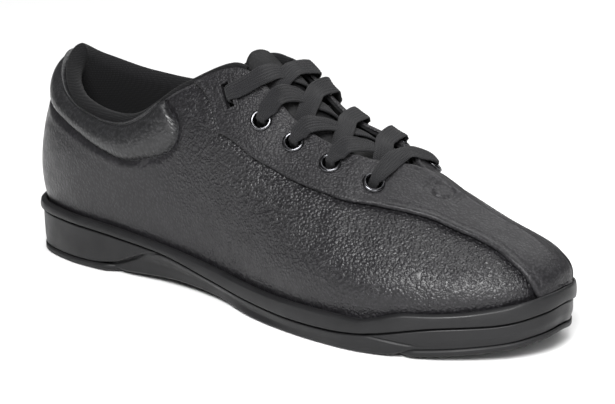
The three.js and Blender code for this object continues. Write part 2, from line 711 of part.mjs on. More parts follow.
// ---- tongue -------------------------------------------------------------------------------
const TONGUE_STATIONS = [4.2, 4.45, 4.75, 5.1, 5.5, 6, 6.5, 6.9];
const TONGUE_EDGE = 0.83; // h of its side edges under the eyestays
const TONGUE_RISE = { cover: 3, foam: 2.3, lining: 1.7 }; // each layer swells between the eyestays
const TONGUE_TIP = [[3, 1], [5.5, 0.98], [7.5, 0.92], [8.5, 0.8]]; // reach past the last station, width

const tongueSwell = (u) => smooth(u, 4.6, 6);

// Rows of points across the tongue, at one offset, from its stitched base to its free end.
function tongueGrid(off, rise) {
  const inwards = [0, 1 / 3, 2 / 3, 1].map((k) => TONGUE_EDGE + (1 - TONGUE_EDGE) * k);
  const outwards = [...inwards].reverse();
  const rows = TONGUE_STATIONS.map((u) => [
    ...inwards.map((h) => surface(LATERAL, u, h, off)),
    ...[-0.5, 0, 0.5].map((v) => arch(u, v, off + rise * tongueSwell(u))),
    ...outwards.map((h) => surface(MEDIAL, u, h, off)),
  ]);
  const last = rows[rows.length - 1];
  const middle = last[5];
  const run = middle.clone().sub(rows[rows.length - 2][5]).normalize();
  for (const [reach, width] of TONGUE_TIP) {
    rows.push(last.map((p) => vec(
      p.x + run.x * reach,
      middle.y + (p.y - middle.y) * width,
      middle.z + (p.z - middle.z) * (0.6 + 0.4 * width) + run.z * reach,
    )));
  }
  return rows;
}

function tongueLayer(top, thick, rise) {
  const skin = new Skin();
  addSlab(skin, tongueGrid(top, rise), tongueGrid(top - thick, rise), {}, false);
  return skin.geometry();
}

const FOAM_TOP = TONGUE_TOP - TONGUE_SKIN - GAP;
const tongueCover = () => tongueLayer(TONGUE_TOP, TONGUE_SKIN, TONGUE_RISE.cover);
const tongueFoam = () => tongueLayer(FOAM_TOP, TONGUE_FOAM, TONGUE_RISE.foam);
const LINING_TOP = FOAM_TOP - TONGUE_FOAM - GAP;
const tongueLining = () => tongueLayer(LINING_TOP, TONGUE_LINING, TONGUE_RISE.lining);

// ---- eyelets ------------------------------------------------------------------------------
function eyelet({ side, u, h }) {
  const ring = [
    [EYELET_BORE, -2.4], [EYELET_BACK_FLANGE, -2.4], [EYELET_BACK_FLANGE, -1.85],
    [EYELET_TUBE, -1.85], [EYELET_TUBE, 2.05], [EYELET_FLANGE, 2.05], [EYELET_FLANGE - 0.5, 2.6],
    [EYELET_BORE + 0.5, 2.6], [EYELET_BORE, 2.2], [EYELET_BORE, -2.4],
  ];
  const lathe = new THREE.LatheGeometry(ring.map(([r, z]) => new THREE.Vector2(r, z)), 12);
  return standOn(lathe.rotateX(Math.PI / 2), side, u, h);
}

// ---- lace ---------------------------------------------------------------------------------
const placeOfRow = (row) => (row === 0 ? [SLOT.u, SLOT.h] : EYELETS[row - 1]);
const LACE_OVER = 4.2; // middle of the lace above the last surface where it crosses an eyestay
const LACE_UNDER = -3.8; // and where it runs back under one
const LACE_REST = -2.7; // and where the lower strand of a crossing lies over the tongue
const LACE_BAR = 2.3; // and along the straight bar between the two lowest eyelets
const HOLE_WIDTH = 4.3; // the flat lace bunches up inside an eyelet
const HOLE_THICK = 2;
const SLOT_FIT = 6.8; // and folds its edges a little in the slot
const UNDER_SECTION = [6.4, 1.4]; // width and thickness where it turns under the eyestay
const LACE_TAIL = [[-0.02, -0.05, -4.6], [-0.04, -0.09, -6], [-0.08, -0.13, -7.2]]; // past the slot
const TAIL_SECTION = [3, 1.6]; // and bunched at its tip

// A strand crosses the gap through these places: share of its way to the far edge, position
// across the gap, and lift where it starts on the lateral side (over) or the medial one (under).
const CROSSING = [
  { part: 0.3, across: -0.5, overLift: 0.5, underLift: 0.2 },
  { part: 0.57, across: 0, overLift: 2.3, underLift: 0.5 },
  { part: 0.82, across: 0.42, overLift: 2.9, underLift: 2.1 },
];

// A strand reaches the far eyestay's edge this share of the way to its next row, and a point
// near the hole at the next share and that share of the eyestay's height above the hole.
const TO_EYELET = [0.9, 0.96, 0.45];
const TO_SLOT = [0.42, 0.74, 0.3];

function lacePoint(p, wide, w = LACE_WIDTH, t = LACE_THICK) {
  return { p, wide: wide.clone().normalize(), w, t };
}

// Down through the hole of one row: the last point outside, two in the hole, the first inside.
function throughHole(row, side, fromHeading) {
  const [u, h] = placeOfRow(row);
  const n = lastNormal(side, u, h);
  const up = lastPoint(side, u, h + 0.02).sub(lastPoint(side, u, h - 0.02)).normalize();
  const along = up.clone().applyAxisAngle(n, -side * radians(SLOT.lean));
  const wideIn = row === 0 ? along : n.clone().cross(fromHeading);
  const wideOut = row === 0 ? along : n.clone().cross(up);
  const w = row === 0 ? SLOT_FIT : HOLE_WIDTH;
  const t = row === 0 ? LACE_THICK : HOLE_THICK;
  const halfFolded = [(w + LACE_WIDTH) / 2, (t + LACE_THICK) / 2];
  const at = (off) => surface(side, u, h, off);
  return [
    lacePoint(at(LACE_OVER).addScaledVector(fromHeading, -2.8), wideIn, ...halfFolded),
    lacePoint(at(3.4).addScaledVector(fromHeading, -0.4), wideIn, w, t),
    lacePoint(at(1.4), wideIn, w, t),
    lacePoint(at(-1.8), wideOut, w, t),
    lacePoint(at(-3.4).addScaledVector(up, row === 0 ? -0.8 : 0.8), wideOut, w, t),
  ];
}

// From under the eyestay at (row, side) across the tongue to the other side's next row up.
function crossing(row, side) {
  const [u, h] = placeOfRow(row);
  const [nextU, nextH] = placeOfRow(row - 1);
  const other = -side;
  const mix = (k) => u + (nextU - u) * k;
  const [edgeAt, nearAt, nearShare] = row === 1 ? TO_SLOT : TO_EYELET;
  const start = surface(side, mix(0.1), 1, LACE_UNDER);
  const end = surface(other, mix(edgeAt), 1, LACE_OVER + 0.3);
  const heading = end.clone().sub(start).normalize();
  const middle = CROSSING.map(({ part, across, overLift, underLift }) => {
    const lift = side === LATERAL ? overLift : underLift;
    const [k, v] = [part * edgeAt, across];
    const p = arch(mix(k), v * other, LACE_REST + lift);
    const up = arch(mix(k), v * other, LACE_REST + lift + 1).sub(p);
    return lacePoint(p, up.cross(heading));
  });
  const startWide = lastNormal(side, mix(0.1), 0.99).cross(heading);
  const endN = lastNormal(other, mix(edgeAt), 0.99);
  const last = surface(other, mix(nearAt), nextH + nearShare * (1 - nextH), LACE_OVER);
  const toHole = surface(other, nextU, nextH, LACE_OVER).sub(end).normalize();
  return {
    heading: toHole,
    points: [
      lacePoint(surface(side, mix(0.04), (1 + h) / 2, LACE_UNDER), startWide, ...UNDER_SECTION),
      lacePoint(start, startWide),
      ...middle,
      lacePoint(end, endN.clone().cross(heading)),
      lacePoint(last, endN.clone().cross(toHole)),
    ],
  };
}

// Half of the lace, from the lowest row's outside on one half up to its tucked-in end.
function laceHalf(start) {
  let side = start;
  const [u4, h4] = placeOfRow(4);
  const inward = surface(side, u4, h4, LACE_OVER).sub(surface(side, u4, 1, LACE_OVER)).normalize();
  const n4 = lastNormal(side, u4, 1);
  const points = [
    lacePoint(surface(side, u4, 1, LACE_BAR + 0.4), n4.cross(inward)),
    ...throughHole(4, side, inward),
  ];
  for (let row = 4; row > 0; row -= 1) {
    const { heading, points: across } = crossing(row, side);
    side = -side;
    points.push(...across, ...throughHole(row - 1, side, heading));
  }
  const [u0, h0] = placeOfRow(0);
  const n0 = lastNormal(side, u0, h0);
  const upward = lastPoint(side, u0, h0).sub(lastPoint(side, u0, h0 - 0.1));
  for (const [du, dh, off] of LACE_TAIL) {
    const p = surface(side, u0 + du, h0 + dh, off);
    points.push(lacePoint(p, n0.clone().cross(upward), ...TAIL_SECTION));
  }
  return points;
}

function lacePath() {
  const [u4] = placeOfRow(4);
  const across = arch(u4, -1, 0).sub(arch(u4, 1, 0));
  const bar = lacePoint(arch(u4, 0, LACE_BAR), across.cross(vec(0.3, 0, 1)));
  const points = [...laceHalf(MEDIAL).reverse(), bar, ...laceHalf(LATERAL)];
  for (let k = 1; k < points.length; k += 1) {
    if (points[k].wide.dot(points[k - 1].wide) < 0) points[k].wide.negate();
  }
  return points;
}

// Frames along the lace: centre, direction across the flat, direction of its thickness.
function laceFrames(perSpan) {
  const points = lacePath();
  const line = new THREE.CatmullRomCurve3(points.map((q) => q.p), false, 'centripetal');
  const spans = points.length - 1;
  const frames = [];
  for (let k = 0; k <= spans * perSpan; k += 1) {
    const i = Math.min(Math.floor(k / perSpan), spans - 1);
    const f = k / perSpan - i;
    const t = k / (spans * perSpan);
    const [a, b] = [points[i], points[i + 1]];
    const [before, after] = [Math.max(t - 1e-3, 0), Math.min(t + 1e-3, 1)];
    const run = line.getPoint(after).sub(line.getPoint(before)).normalize();
    const wide = a.wide.clone().lerp(b.wide, f);
    wide.addScaledVector(run, -wide.dot(run)).normalize();
    frames.push({
      p: line.getPoint(t),
      run,
      wide,
      thick: run.clone().cross(wide),
      w: a.w + (b.w - a.w) * f,
      t: a.t + (b.t - a.t) * f,
    });
  }
  return frames;
}

const laceLine = laceFrames(2);

const lace = () => sweepRings(laceLine.map(({ p, wide, thick, w, t }) => (
  [[0.5, 0.5], [-0.5, 0.5], [-0.5, -0.5], [0.5, -0.5]].map(([a, b]) => (
    p.clone().addScaledVector(wide, a * w).addScaledVector(thick, b * t)))
)));

const AGLET = { length: 11, r: 1.2 };

function aglet(end) {
  const away = end === laceLine[0] ? -1 : 1;
  const run = end.run.clone().multiplyScalar(away);
  const shape = new THREE.CylinderGeometry(AGLET.r, AGLET.r, AGLET.length, 10);
  shape.applyQuaternion(new THREE.Quaternion().setFromUnitVectors(vec(0, 1, 0), run));
  const at = end.p.clone().addScaledVector(run, AGLET.length / 2 + GAP);
  return shape.translate(at.x, at.y, at.z);
}

// ---- assembly -----------------------------------------------------------------------------
function signedVolume(geometry) {
  const p = geometry.attributes.position;
  const index = geometry.index;
  let sum = 0;
  const corner = (k) => vec().fromBufferAttribute(p, index.getX(k));
  for (let k = 0; k < index.count; k += 3) sum += corner(k).dot(corner(k + 1).cross(corner(k + 2))) / 6;
  return sum;
}

// Meshes hang in an inner group that puts the origin under the middle of the sole's outline.
const shoe = new THREE.Group();
const body = new THREE.Group();
shoe.add(body);

function add(name, geometry, look) {
  if (signedVolume(geometry) < 0) {
    const index = Array.from(geometry.index.array);
    for (let k = 0; k < index.length; k += 3) [index[k], index[k + 1]] = [index[k + 1], index[k]];
    geometry.setIndex(index);
  }
  const mesh = new THREE.Mesh(geometry, look);
  mesh.name = name;
  body.add(mesh);
  return mesh;
}

const sideName = (side) => (side === LATERAL ? 'lateral' : 'medial');

add('outsole', outsole(), SOLE_RUBBER);
const cup = add('midsole', midsole(), SOLE_RUBBER);
add('shank', shank(), SPRING_STEEL);
add('heel_cushion', heelCushion(), FOAM);
add('insole_board', insoleBoard(), BOARD);
add('insole', insole(), TEXTILE);
add('centre_overlay', overlay(), SMOOTH_LEATHER);
add('centre_backing', centreBacking(), TEXTILE);
add('toe_puff', toePuff(), STIFF_BOARD);
add('heel_counter', heelCounter(), STIFF_BOARD);
add('vamp_lining', vampLining(), TEXTILE);
add('quarter_lining', quarterLining(), TEXTILE);
add('collar_cover', collarCover(), SMOOTH_LEATHER);
add('collar_foam', collarFoam(), FOAM);
add('tongue_cover', tongueCover(), TEXTILE);
add('tongue_foam', tongueFoam(), FOAM);
add('tongue_lining', tongueLining(), TEXTILE);
add('lace', lace(), LACE_TEXTILE);
for (const side of bothSides) {
  add(`${sideName(side)}_quarter`, quarter(side), GRAIN_LEATHER);
  add(`${sideName(side)}_slot_tab`, slotTab(side), SMOOTH_LEATHER);
  const laceEnd = laceLine.at(side === LATERAL ? -1 : 0);
  add(`${sideName(side)}_aglet`, aglet(laceEnd), PLASTIC);
}
for (const place of eyeletPlaces) {
  add(`${sideName(place.side)}_eyelet_${place.row}`, eyelet(place), EYELET_METAL);
}

cup.geometry.computeBoundingBox();
const foot = cup.geometry.boundingBox;
body.position.set(-(foot.min.x + foot.max.x) / 2, -(foot.min.y + foot.max.y) / 2, 0);

export default shoe;
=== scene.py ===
"""Looks of the lace-up bowling shoe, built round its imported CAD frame.

The upper is one smooth last surface. A place on it is (side, u, h): side -1 is the outer (lateral)
half and +1 the medial half, u runs from 0 at the toe tip to 12 at the middle of the heel back, and
h from 0 at the feather line, where the upper meets the sole, to 1 at the ridge, the eyestay edge or
the collar crest. Dimensions are in millimetres until a mesh is made.
"""

import json
import math

import bmesh
import bpy
import numpy as np
from mathutils import Matrix, Vector


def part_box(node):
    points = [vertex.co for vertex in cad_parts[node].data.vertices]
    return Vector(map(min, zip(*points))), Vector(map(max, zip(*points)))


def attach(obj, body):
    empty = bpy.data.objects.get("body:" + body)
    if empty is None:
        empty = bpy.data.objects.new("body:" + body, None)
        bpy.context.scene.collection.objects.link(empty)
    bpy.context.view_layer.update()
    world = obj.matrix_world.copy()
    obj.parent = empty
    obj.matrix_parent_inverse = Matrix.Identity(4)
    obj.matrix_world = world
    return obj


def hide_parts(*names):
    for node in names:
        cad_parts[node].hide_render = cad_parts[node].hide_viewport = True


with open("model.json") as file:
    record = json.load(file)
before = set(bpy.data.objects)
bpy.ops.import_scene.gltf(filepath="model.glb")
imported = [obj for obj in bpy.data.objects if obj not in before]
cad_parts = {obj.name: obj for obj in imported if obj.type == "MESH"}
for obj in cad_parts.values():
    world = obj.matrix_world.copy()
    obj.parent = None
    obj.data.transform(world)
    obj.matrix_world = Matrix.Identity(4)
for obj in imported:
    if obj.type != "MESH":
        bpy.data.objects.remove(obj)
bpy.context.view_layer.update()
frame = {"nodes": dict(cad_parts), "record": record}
NODES = frame["nodes"]
MM = 0.001
LATERAL, MEDIAL = -1, 1
SIDES = {"lateral": LATERAL, "medial": MEDIAL}
TOE, THROAT, HEEL = 0, 4, 12

# ---- driving dimensions, as in the CAD source ----
LATERAL_OUTLINE = [
    (272.5, 8.5), (271, -4), (262, -18), (240, -34), (212, -43.5), (182, -43), (152, -37),
    (124, -32), (96, -29.5), (66, -29), (36, -27.5), (13, -19), (3, 0),
]
MEDIAL_OUTLINE = [
    (272.5, 8.5), (269, 20), (258, 33), (238, 41.5), (212, 44.5), (182, 41.5), (152, 33),
    (124, 27.5), (96, 26.5), (66, 28), (36, 27.5), (13, 19), (3, 0),
]
FEATHER_Z = [27, 25.6, 22.3, 18.6, 15.5, 13.7, 13.4, 15.9, 18.7, 21.3, 22.6, 23.1, 22.8]
# Ridge, eyestay edge and collar crest: x, centre y, z, half gap between the sides.
TOP_LINE = [
    (272.5, 8.5, 27, 0), (271.5, 8.2, 34.6, 0), (260, 7.4, 43.8, 0), (235, 5.6, 52.9, 0),
    (207, 4, 65, 0), (184, 2, 71, 14.5), (159, -1, 80.3, 15.5), (131, -3, 99.8, 15.5),
    (102, -1, 88.9, 24.5), (74, 0, 70.4, 30), (42, 0, 71, 25.5), (21, 0, 79.6, 14.5),
    (13.5, 0, 88.5, 0),
]
MEDIAL_RISE = [0, 0, 0, 0, 0, -1.1, -2, -2, 2.6, 5.3, 5, 2.9, 0]
# Lower handle share, its outward lean, upper handle share, its fall and its turn in plan.
PROFILE = [
    (0.4, 8, 0.4, 0, 0), (0.4, 8, 0.42, 6, 0), (0.42, 8, 0.38, 13, 0), (0.42, 12, 0.36, 19, 0),
    (0.42, 14, 0.36, 24, 0), (0.42, 12, 0.36, 30, 0), (0.4, 9, 0.36, 40, 0), (0.38, 6, 0.34, 52, 0),
    (0.38, 5, 0.3, 66, 0), (0.38, 7, 0.3, 62, 4), (0.4, 10, 0.3, 60, 22), (0.4, 12, 0.3, 60, 55),
    (0.4, 12, 0.3, 60, 90),
]
GROOVE_Z = [21, 19, 16, 13.8, 8.4, 6.8, 7.2, 10.6, 15.2, 17.7, 19, 19, 18.6]
GROUND_Z = [9, 7.4, 4.8, 2, 0, 0, 0.2, 1.8, 2.8, 1.2, 0, 0, 0]
# How far the outsole's edge line stands out from the feather line.
SOLE_REACH = [1.2, 1.2, 1.2, 1, 0.7, 1.4, 2, -2, -2.6, 0.2, 0.4, 0.4, 0.4]
OUTSOLE_THICK, RAND_OUT, CUP_DEPTH, GAP = 2.6, 3, 4.7, 0.35
TUCK = 0.022
# Lower edge of the strip and eyestays, (u, h).
SEAM_REAR = [(6, 0.692), (6.45, 0.66), (7.04, 0.654), (7.36, 0.81), (7.71, 0.96), (7.8, 0.995)]
LATERAL_SEAM = [
    (1.05, -0.015), (1.27, 0.21), (1.65, 0.44), (2.05, 0.57), (2.46, 0.68), (2.85, 0.717),
    (3.3, 0.72), (3.74, 0.686), (4.1, 0.66), (4.6, 0.672), (5.1, 0.687), *SEAM_REAR,
]
MEDIAL_SEAM = [
    (0.75, -0.015), (1, 0.25), (1.3, 0.5), (1.65, 0.7), (2.05, 0.8), (2.46, 0.86), (2.85, 0.885),
    (3.3, 0.885), (3.74, 0.85), (4.1, 0.79), (4.6, 0.74), (5.1, 0.71), *SEAM_REAR,
]
SEAM = {LATERAL: LATERAL_SEAM, MEDIAL: MEDIAL_SEAM}
OVERLAY_END = 7.8
EYELETS = [(6.47, 0.849), (5.923, 0.887), (5.19, 0.874), (4.418, 0.811)]  # rows 1 to 4
SLOT = {"u": 7.06, "h": 0.85, "length": 11.6, "width": 3.6, "lean": 40}
# The patch round a slot: half length, half width, corner radius and thickness, and the offsets of
# its edge and its underside.
SLOT_PATCH = {"long": 7.9, "wide": 3.9, "corner": 1.6, "thick": 0.95, "foot": 1.75, "under": 1.6}
EYELET_BORE, EYELET_FLANGE, EYELET_HOLE = 2.9, 4.7, 3.65
LACE_WIDTH, LACE_THICK = 8, 1.2

# Stitched edge of the collar padding, from the crest down its front and back to the heel: (u, h).
COLLAR_EDGE = [
    (8.32, 1), (8.2, 0.9), (8.07, 0.824), (7.93, 0.736), (7.92, 0.648), (8.03, 0.585), (8.25, 0.56),
    (8.52, 0.579), (8.9, 0.62), (9.16, 0.667), (9.48, 0.72), (9.84, 0.767), (10.27, 0.786),
    (10.7, 0.765), (11.3, 0.742), (12, 0.735),
]
# Upper edge of the rand, (u, z).
RAND_TOP = [
    (0, 27.7), (0.7, 27.1), (1.4, 25.4), (2.1, 22.9), (2.6, 21), (3, 20.1), (3.34, 19.6),
    (3.57, 18), (3.75, 16.3), (3.97, 14.9), (4.25, 14.9), (4.7, 14.8), (5.2, 14.3),
]


# ---- interpolation ----
def rows_of(keys):
    keys = np.asarray(keys, float)
    return keys[:, None] if keys.ndim == 1 else keys


def curve(keys, at, before=None, after=None):
    """Uniform Catmull-Rom curve; before and after are the keys just past its two ends."""
    keys = rows_of(keys)
    first = 2 * keys[0] - keys[1] if before is None else before
    beyond = 2 * keys[-1] - keys[-2] if after is None else after
    padded = np.vstack([first, keys, beyond])
    at = np.clip(np.asarray(at, float), 0, len(keys) - 1)
    i = np.minimum(at.astype(int), len(keys) - 2)
    f = (at - i)[..., None]
    p0, p1, p2, p3 = (padded[i + k] for k in range(4))
    return 0.5 * (2 * p1 + (p2 - p0) * f + (2 * p0 - 5 * p1 + 4 * p2 - p3) * f**2
                  + (3 * p1 - p0 - 3 * p2 + p3) * f**3)


def both(keys, u):
    """A sole dimension, alike on both halves."""
    keys = rows_of(keys)
    return curve(keys, u, keys[1], keys[-2])


def pchip(pairs, at):
    """Smooth curve through (key, value) pairs that never overshoots them."""
    x, y = np.asarray(pairs, float).T
    step = np.diff(x)
    slope = np.diff(y) / step
    same = slope[:-1] * slope[1:] > 0
    inner = np.where(same, 2 * slope[:-1] * slope[1:] / np.where(same, slope[:-1] + slope[1:], 1), 0)
    d = np.concatenate([[slope[0]], inner, [slope[-1]]])
    at = np.clip(np.asarray(at, float), x[0], x[-1])
    i = np.clip(np.searchsorted(x, at, side="right") - 1, 0, len(x) - 2)
    t = (at - x[i]) / step[i]
    return ((1 + 2 * t) * (1 - t) ** 2 * y[i] + t * (1 - t) ** 2 * step[i] * d[i]
            + t**2 * (3 - 2 * t) * y[i + 1] - t**2 * (1 - t) * step[i] * d[i + 1])


def smooth(x, low, high):
    t = np.clip((np.asarray(x, float) - low) / (high - low), 0, 1)
    return t * t * (3 - 2 * t)


def hill(distance, width):
    """1 on a line, falling away on both sides of it within about that width."""
    return np.exp(-((distance / width) ** 2))


def unit(v):
    return v / np.maximum(np.linalg.norm(v, axis=-1, keepdims=True), 1e-12)


# ---- last surface ----
def outline(side, u):
    mine, other = (LATERAL_OUTLINE, MEDIAL_OUTLINE)[:: -side]
    return curve(mine, u, other[1], other[-2])


def plan_normal(side, u):
    step = 1e-3

    def at(v):
        v = np.asarray(v, float)
        across = (v < TOE) | (v > HEEL)
        folded = np.where(v < TOE, -v, np.where(v > HEEL, 2 * HEEL - v, v))
        return np.where(across[..., None], outline(-side, folded), outline(side, folded))

    d = at(np.asarray(u, float) + step) - at(np.asarray(u, float) - step)
    return unit(np.stack([side * d[..., 1], -side * d[..., 0], np.zeros_like(d[..., 0])], -1))


def feather(side, u):
    return np.concatenate([outline(side, u), both(FEATHER_Z, u)], -1)


def top_line(side, u):
    u = np.asarray(u, float)
    x, y, z, half = np.moveaxis(curve(TOP_LINE, u, None, np.array(TOP_LINE[-2]) * (1, 1, 1, -1)), -1, 0)
    open_ = np.clip(u - THROAT, 0, 0.9)
    ramp = np.sqrt(np.clip(open_ / 0.5, 0, 1)) * (1 + 0.9 * (0.9 - open_) * np.clip(4 * open_, 0, 1))
    gap = np.maximum(half, 0) * np.where(u > THROAT, ramp, 0)
    rise = np.where(u > THROAT, curve(MEDIAL_RISE, u)[..., 0], 0) * (side == MEDIAL)
    return np.stack([x, y + side * gap, z + rise], -1)


def half_point(side, u, h):
    """A point of one half, with 0 <= u <= 12 and h <= 1."""
    low, top = feather(side, u), top_line(side, u)
    low_share, lean, top_share, fall, turn = np.moveaxis(curve(PROFILE, u), -1, 0)
    reach = np.linalg.norm(top - low, axis=-1)
    lean, fall, turn = (np.radians(v) for v in (lean, fall, turn))
    n = plan_normal(side, u)
    rise = np.stack([n[..., 0] * np.sin(lean), n[..., 1] * np.sin(lean), np.cos(lean)], -1)
    a = low + rise * (low_share * reach)[..., None]
    drop = np.stack([-np.sin(turn) * np.cos(fall), side * np.cos(turn) * np.cos(fall), -np.sin(fall)], -1)
    b = top + drop * (top_share * reach)[..., None]
    h = np.asarray(h, float)[..., None]
    g = 1 - h
    inside = low * g**3 + a * 3 * g * g * h + b * 3 * g * h * h + top * h**3
    below = low + h * np.array([0, 0, 100.0])
    return np.where(h < 0, below, inside)


def last_point(side, u, h):
    u, h = np.broadcast_arrays(np.asarray(u, float), np.asarray(h, float))
    across = (u < TOE) | (u > HEEL)
    u = np.where(u < TOE, -u, np.where(u > HEEL, 2 * HEEL - u, u))
    over = (h > 1) & (u <= THROAT)
    h = np.where(over, 2 - h, h)
    other = (across ^ over)[..., None]
    return np.where(other, half_point(-side, u, h), half_point(side, u, h))


def last_normal(side, u, h):
    u, h = np.broadcast_arrays(np.asarray(u, float), np.asarray(h, float))
    step = 2e-3
    hi = np.where(u <= THROAT, h + step, np.minimum(h + step, 1))
    along_h = last_point(side, u, hi) - last_point(side, u, np.maximum(h - step, 0))
    ahead = np.where(u <= THROAT, np.minimum(u + step, THROAT), u + step)
    along_u = last_point(side, ahead, h) - last_point(side, u - step, h)
    n = unit(np.cross(along_u, along_h) * side)
    return np.where(((h < 0) | (u < 1e-6))[..., None], plan_normal(side, u), n)


def surface(side, u, h, off):
    return last_point(side, u, h) + last_normal(side, u, h) * np.asarray(off, float)[..., None]


def height(side, u):
    return np.maximum(np.linalg.norm(feather(side, u) - top_line(side, u), axis=-1), 1)


def arch(u, across, off):
    """The surface carried on over the gap between the eyestays, across from -1 to 1."""
    ends = []
    for side in (LATERAL, MEDIAL):
        edge = surface(side, u, 1, off)
        ends.append((edge, unit(edge - surface(side, u, 0.97, off))))
    (p, dp), (q, dq) = ends
    reach = np.linalg.norm(p - q, axis=-1, keepdims=True) / 3
    t = (np.asarray(across, float)[..., None] + 1) / 2
    return (p * (1 - t) ** 3 + (p + dp * reach) * 3 * (1 - t) ** 2 * t
            + (q + dq * reach) * 3 * (1 - t) * t * t + q * t**3)


def seam(side, u):
    return pchip(SEAM[side], u)


# The CAD frame is centred on the sole, so its box places the design coordinates.
def sole_edge():
    u = np.linspace(TOE, HEEL, 400)
    return np.vstack([outline(s, u) + plan_normal(s, u)[:, :2] * (RAND_OUT + 0.3) for s in SIDES.values()])


EDGE_LOW, EDGE_HIGH = sole_edge().min(0), sole_edge().max(0)
MID_LOW, MID_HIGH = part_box("midsole")
SHIFT = np.array([*((np.array(MID_LOW + MID_HIGH)[:2] / 2 / MM) - (EDGE_LOW + EDGE_HIGH) / 2), 0.0])


def to_frame(points):
    return (np.asarray(points, float) + SHIFT) * MM


def link(name, data):
    made = bpy.data.objects.new(name, data)
    bpy.context.scene.collection.objects.link(made)
    return made


# ---- camera ----
CAMERA = {"azimuth": 39.63, "elevation": 15.7, "distance": 1100, "lens": 152.31, "aim": (149.3, 0, 41.92)}


def place_camera():
    azimuth, elevation = math.radians(CAMERA["azimuth"]), math.radians(CAMERA["elevation"])
    level = math.cos(elevation)
    back = Vector((math.sin(azimuth) * level, -math.cos(azimuth) * level, math.sin(elevation)))
    camera = link("camera", bpy.data.cameras.new("camera"))
    camera.location = Vector(to_frame(CAMERA["aim"])) + back * CAMERA["distance"] * MM
    camera.rotation_euler = (-back).to_track_quat("-Z", "Y").to_euler()
    camera.data.lens = CAMERA["lens"]
    camera.data.sensor_width = 36
    camera.data.clip_start = 0.05
    bpy.context.scene.camera = camera


place_camera()


# ---- materials ----
class Shader:
    """A procedural material under construction: nodes are added and linked by name."""

    def __init__(self, name, colour, roughness, metallic=0.0, specular=0.5):
        self.material = bpy.data.materials.new(name)
        self.material.use_nodes = True
        self.tree = self.material.node_tree
        self.shader = self.tree.nodes["Principled BSDF"]
        self.shader.inputs["Base Color"].default_value = (*colour, 1)
        self.shader.inputs["Roughness"].default_value = roughness
        self.shader.inputs["Metallic"].default_value = metallic
        self.shader.inputs["Specular IOR Level"].default_value = specular
        self.place = self.node("ShaderNodeTexCoord").outputs["Object"]

    def node(self, kind, settings=None, **inputs):
        made = self.tree.nodes.new(kind)
        for key, value in (settings or {}).items():
            setattr(made, key, value)
        for key, value in inputs.items():
            socket = made.inputs[int(key[1:])] if key[0] == "i" and key[1:].isdigit() else made.inputs[key]
            if isinstance(value, bpy.types.NodeSocket):
                self.tree.links.new(value, socket)
            else:
                socket.default_value = value
        return made

    def math(self, operation, a, b=0.0, c=0.0):
        return self.node("ShaderNodeMath", {"operation": operation}, i0=a, i1=b, i2=c).outputs[0]

    def noise(self, size_mm, detail=3.0):
        return self.node("ShaderNodeTexNoise", Vector=self.place, Scale=1 / (size_mm * MM),
                         Detail=detail, Roughness=0.5).outputs["Fac"]

    def cells(self, size_mm, wander=0.35):
        """Voronoi cells of that size, their places bent by noise so that no grid shows."""
        bend = self.node("ShaderNodeTexNoise", Vector=self.place, Scale=0.4 / (size_mm * MM), Detail=2.0)
        moved = self.node("ShaderNodeVectorMath", {"operation": "MULTIPLY_ADD"}, i0=bend.outputs["Color"],
                          i1=(wander * size_mm * MM * 2,) * 3, i2=self.place)
        return self.node("ShaderNodeTexVoronoi", Vector=moved.outputs[0],
                         Scale=1 / (size_mm * MM)).outputs["Distance"]

    def spread(self, value, low, high, out_low=0.0, out_high=1.0):
        """A value between low and high, eased onto out_low to out_high."""
        made = self.node("ShaderNodeMapRange", {"interpolation_type": "SMOOTHSTEP"}, Value=value)
        ends = {"From Min": low, "From Max": high, "To Min": out_low, "To Max": out_high}
        for name, number in ends.items():
            made.inputs[name].default_value = number
        return made.outputs[0]

    def bump(self, height_value, depth_mm):
        made = self.node("ShaderNodeBump", Height=height_value, Distance=depth_mm * MM, Strength=1.0)
        self.tree.links.new(made.outputs[0], self.shader.inputs["Normal"])

    def tint(self, factor, colour, low, high):
        """The colour times low where the factor is 0, and times high where it is 1."""
        made = self.node("ShaderNodeMix", {"data_type": "RGBA"})
        self.tree.links.new(factor, made.inputs["Factor"])
        for socket, share in (("A", low), ("B", high)):
            made.inputs[socket].default_value = (*(share * c for c in colour), 1)
        self.tree.links.new(made.outputs["Result"], self.shader.inputs["Base Color"])

    def wear(self, size_mm, detail, roughness, less, more):
        """Roughness that wanders about its value in patches of that size."""
        value = self.spread(self.noise(size_mm, detail), 0.3, 0.7, roughness - less, roughness + more)
        self.tree.links.new(value, self.shader.inputs["Roughness"])

    def attribute(self, name):
        return self.node("ShaderNodeAttribute", {"attribute_name": name}).outputs["Fac"]


RUBBER_GLOSS = 0.25


def leather(name, colour, cell_mm, depth_mm, roughness, gloss, by_attribute=False):
    """Tumbled leather: domed pebbles parted by creases, finer pebbles on them, and pores; its colour
    carries painted shade in the creases and a painted highlight on the domes.
    """
    s = Shader(name, colour, roughness, specular=gloss)
    pebbles, small = (s.spread(s.cells(size, wander=0.5), 0.05, 0.75, 1.0, 0.0)
                      for size in (cell_mm, cell_mm * 0.5))
    uneven = s.spread(s.noise(cell_mm * 8, 3.0), 0.35, 0.65, 0.7, 1.0)
    grain = s.math("MULTIPLY_ADD", small, 0.4, pebbles)
    grain = s.math("MULTIPLY_ADD", s.noise(cell_mm * 1.3, 4.0), 0.7, grain)
    grain = s.math("MULTIPLY", grain, uneven)
    if by_attribute:
        grain = s.math("MULTIPLY", grain, s.attribute("grain"))
    s.bump(s.math("MULTIPLY_ADD", s.noise(0.3, 2.0), 0.06, grain), depth_mm)
    # Painted shade and highlight: the colour is darker in the creases between pebbles and lighter on their
    # domes.
    s.tint(pebbles, colour, 0.6, 1.2)
    s.wear(5, 3.0, roughness, 0.05, 0.07)
    return s.material


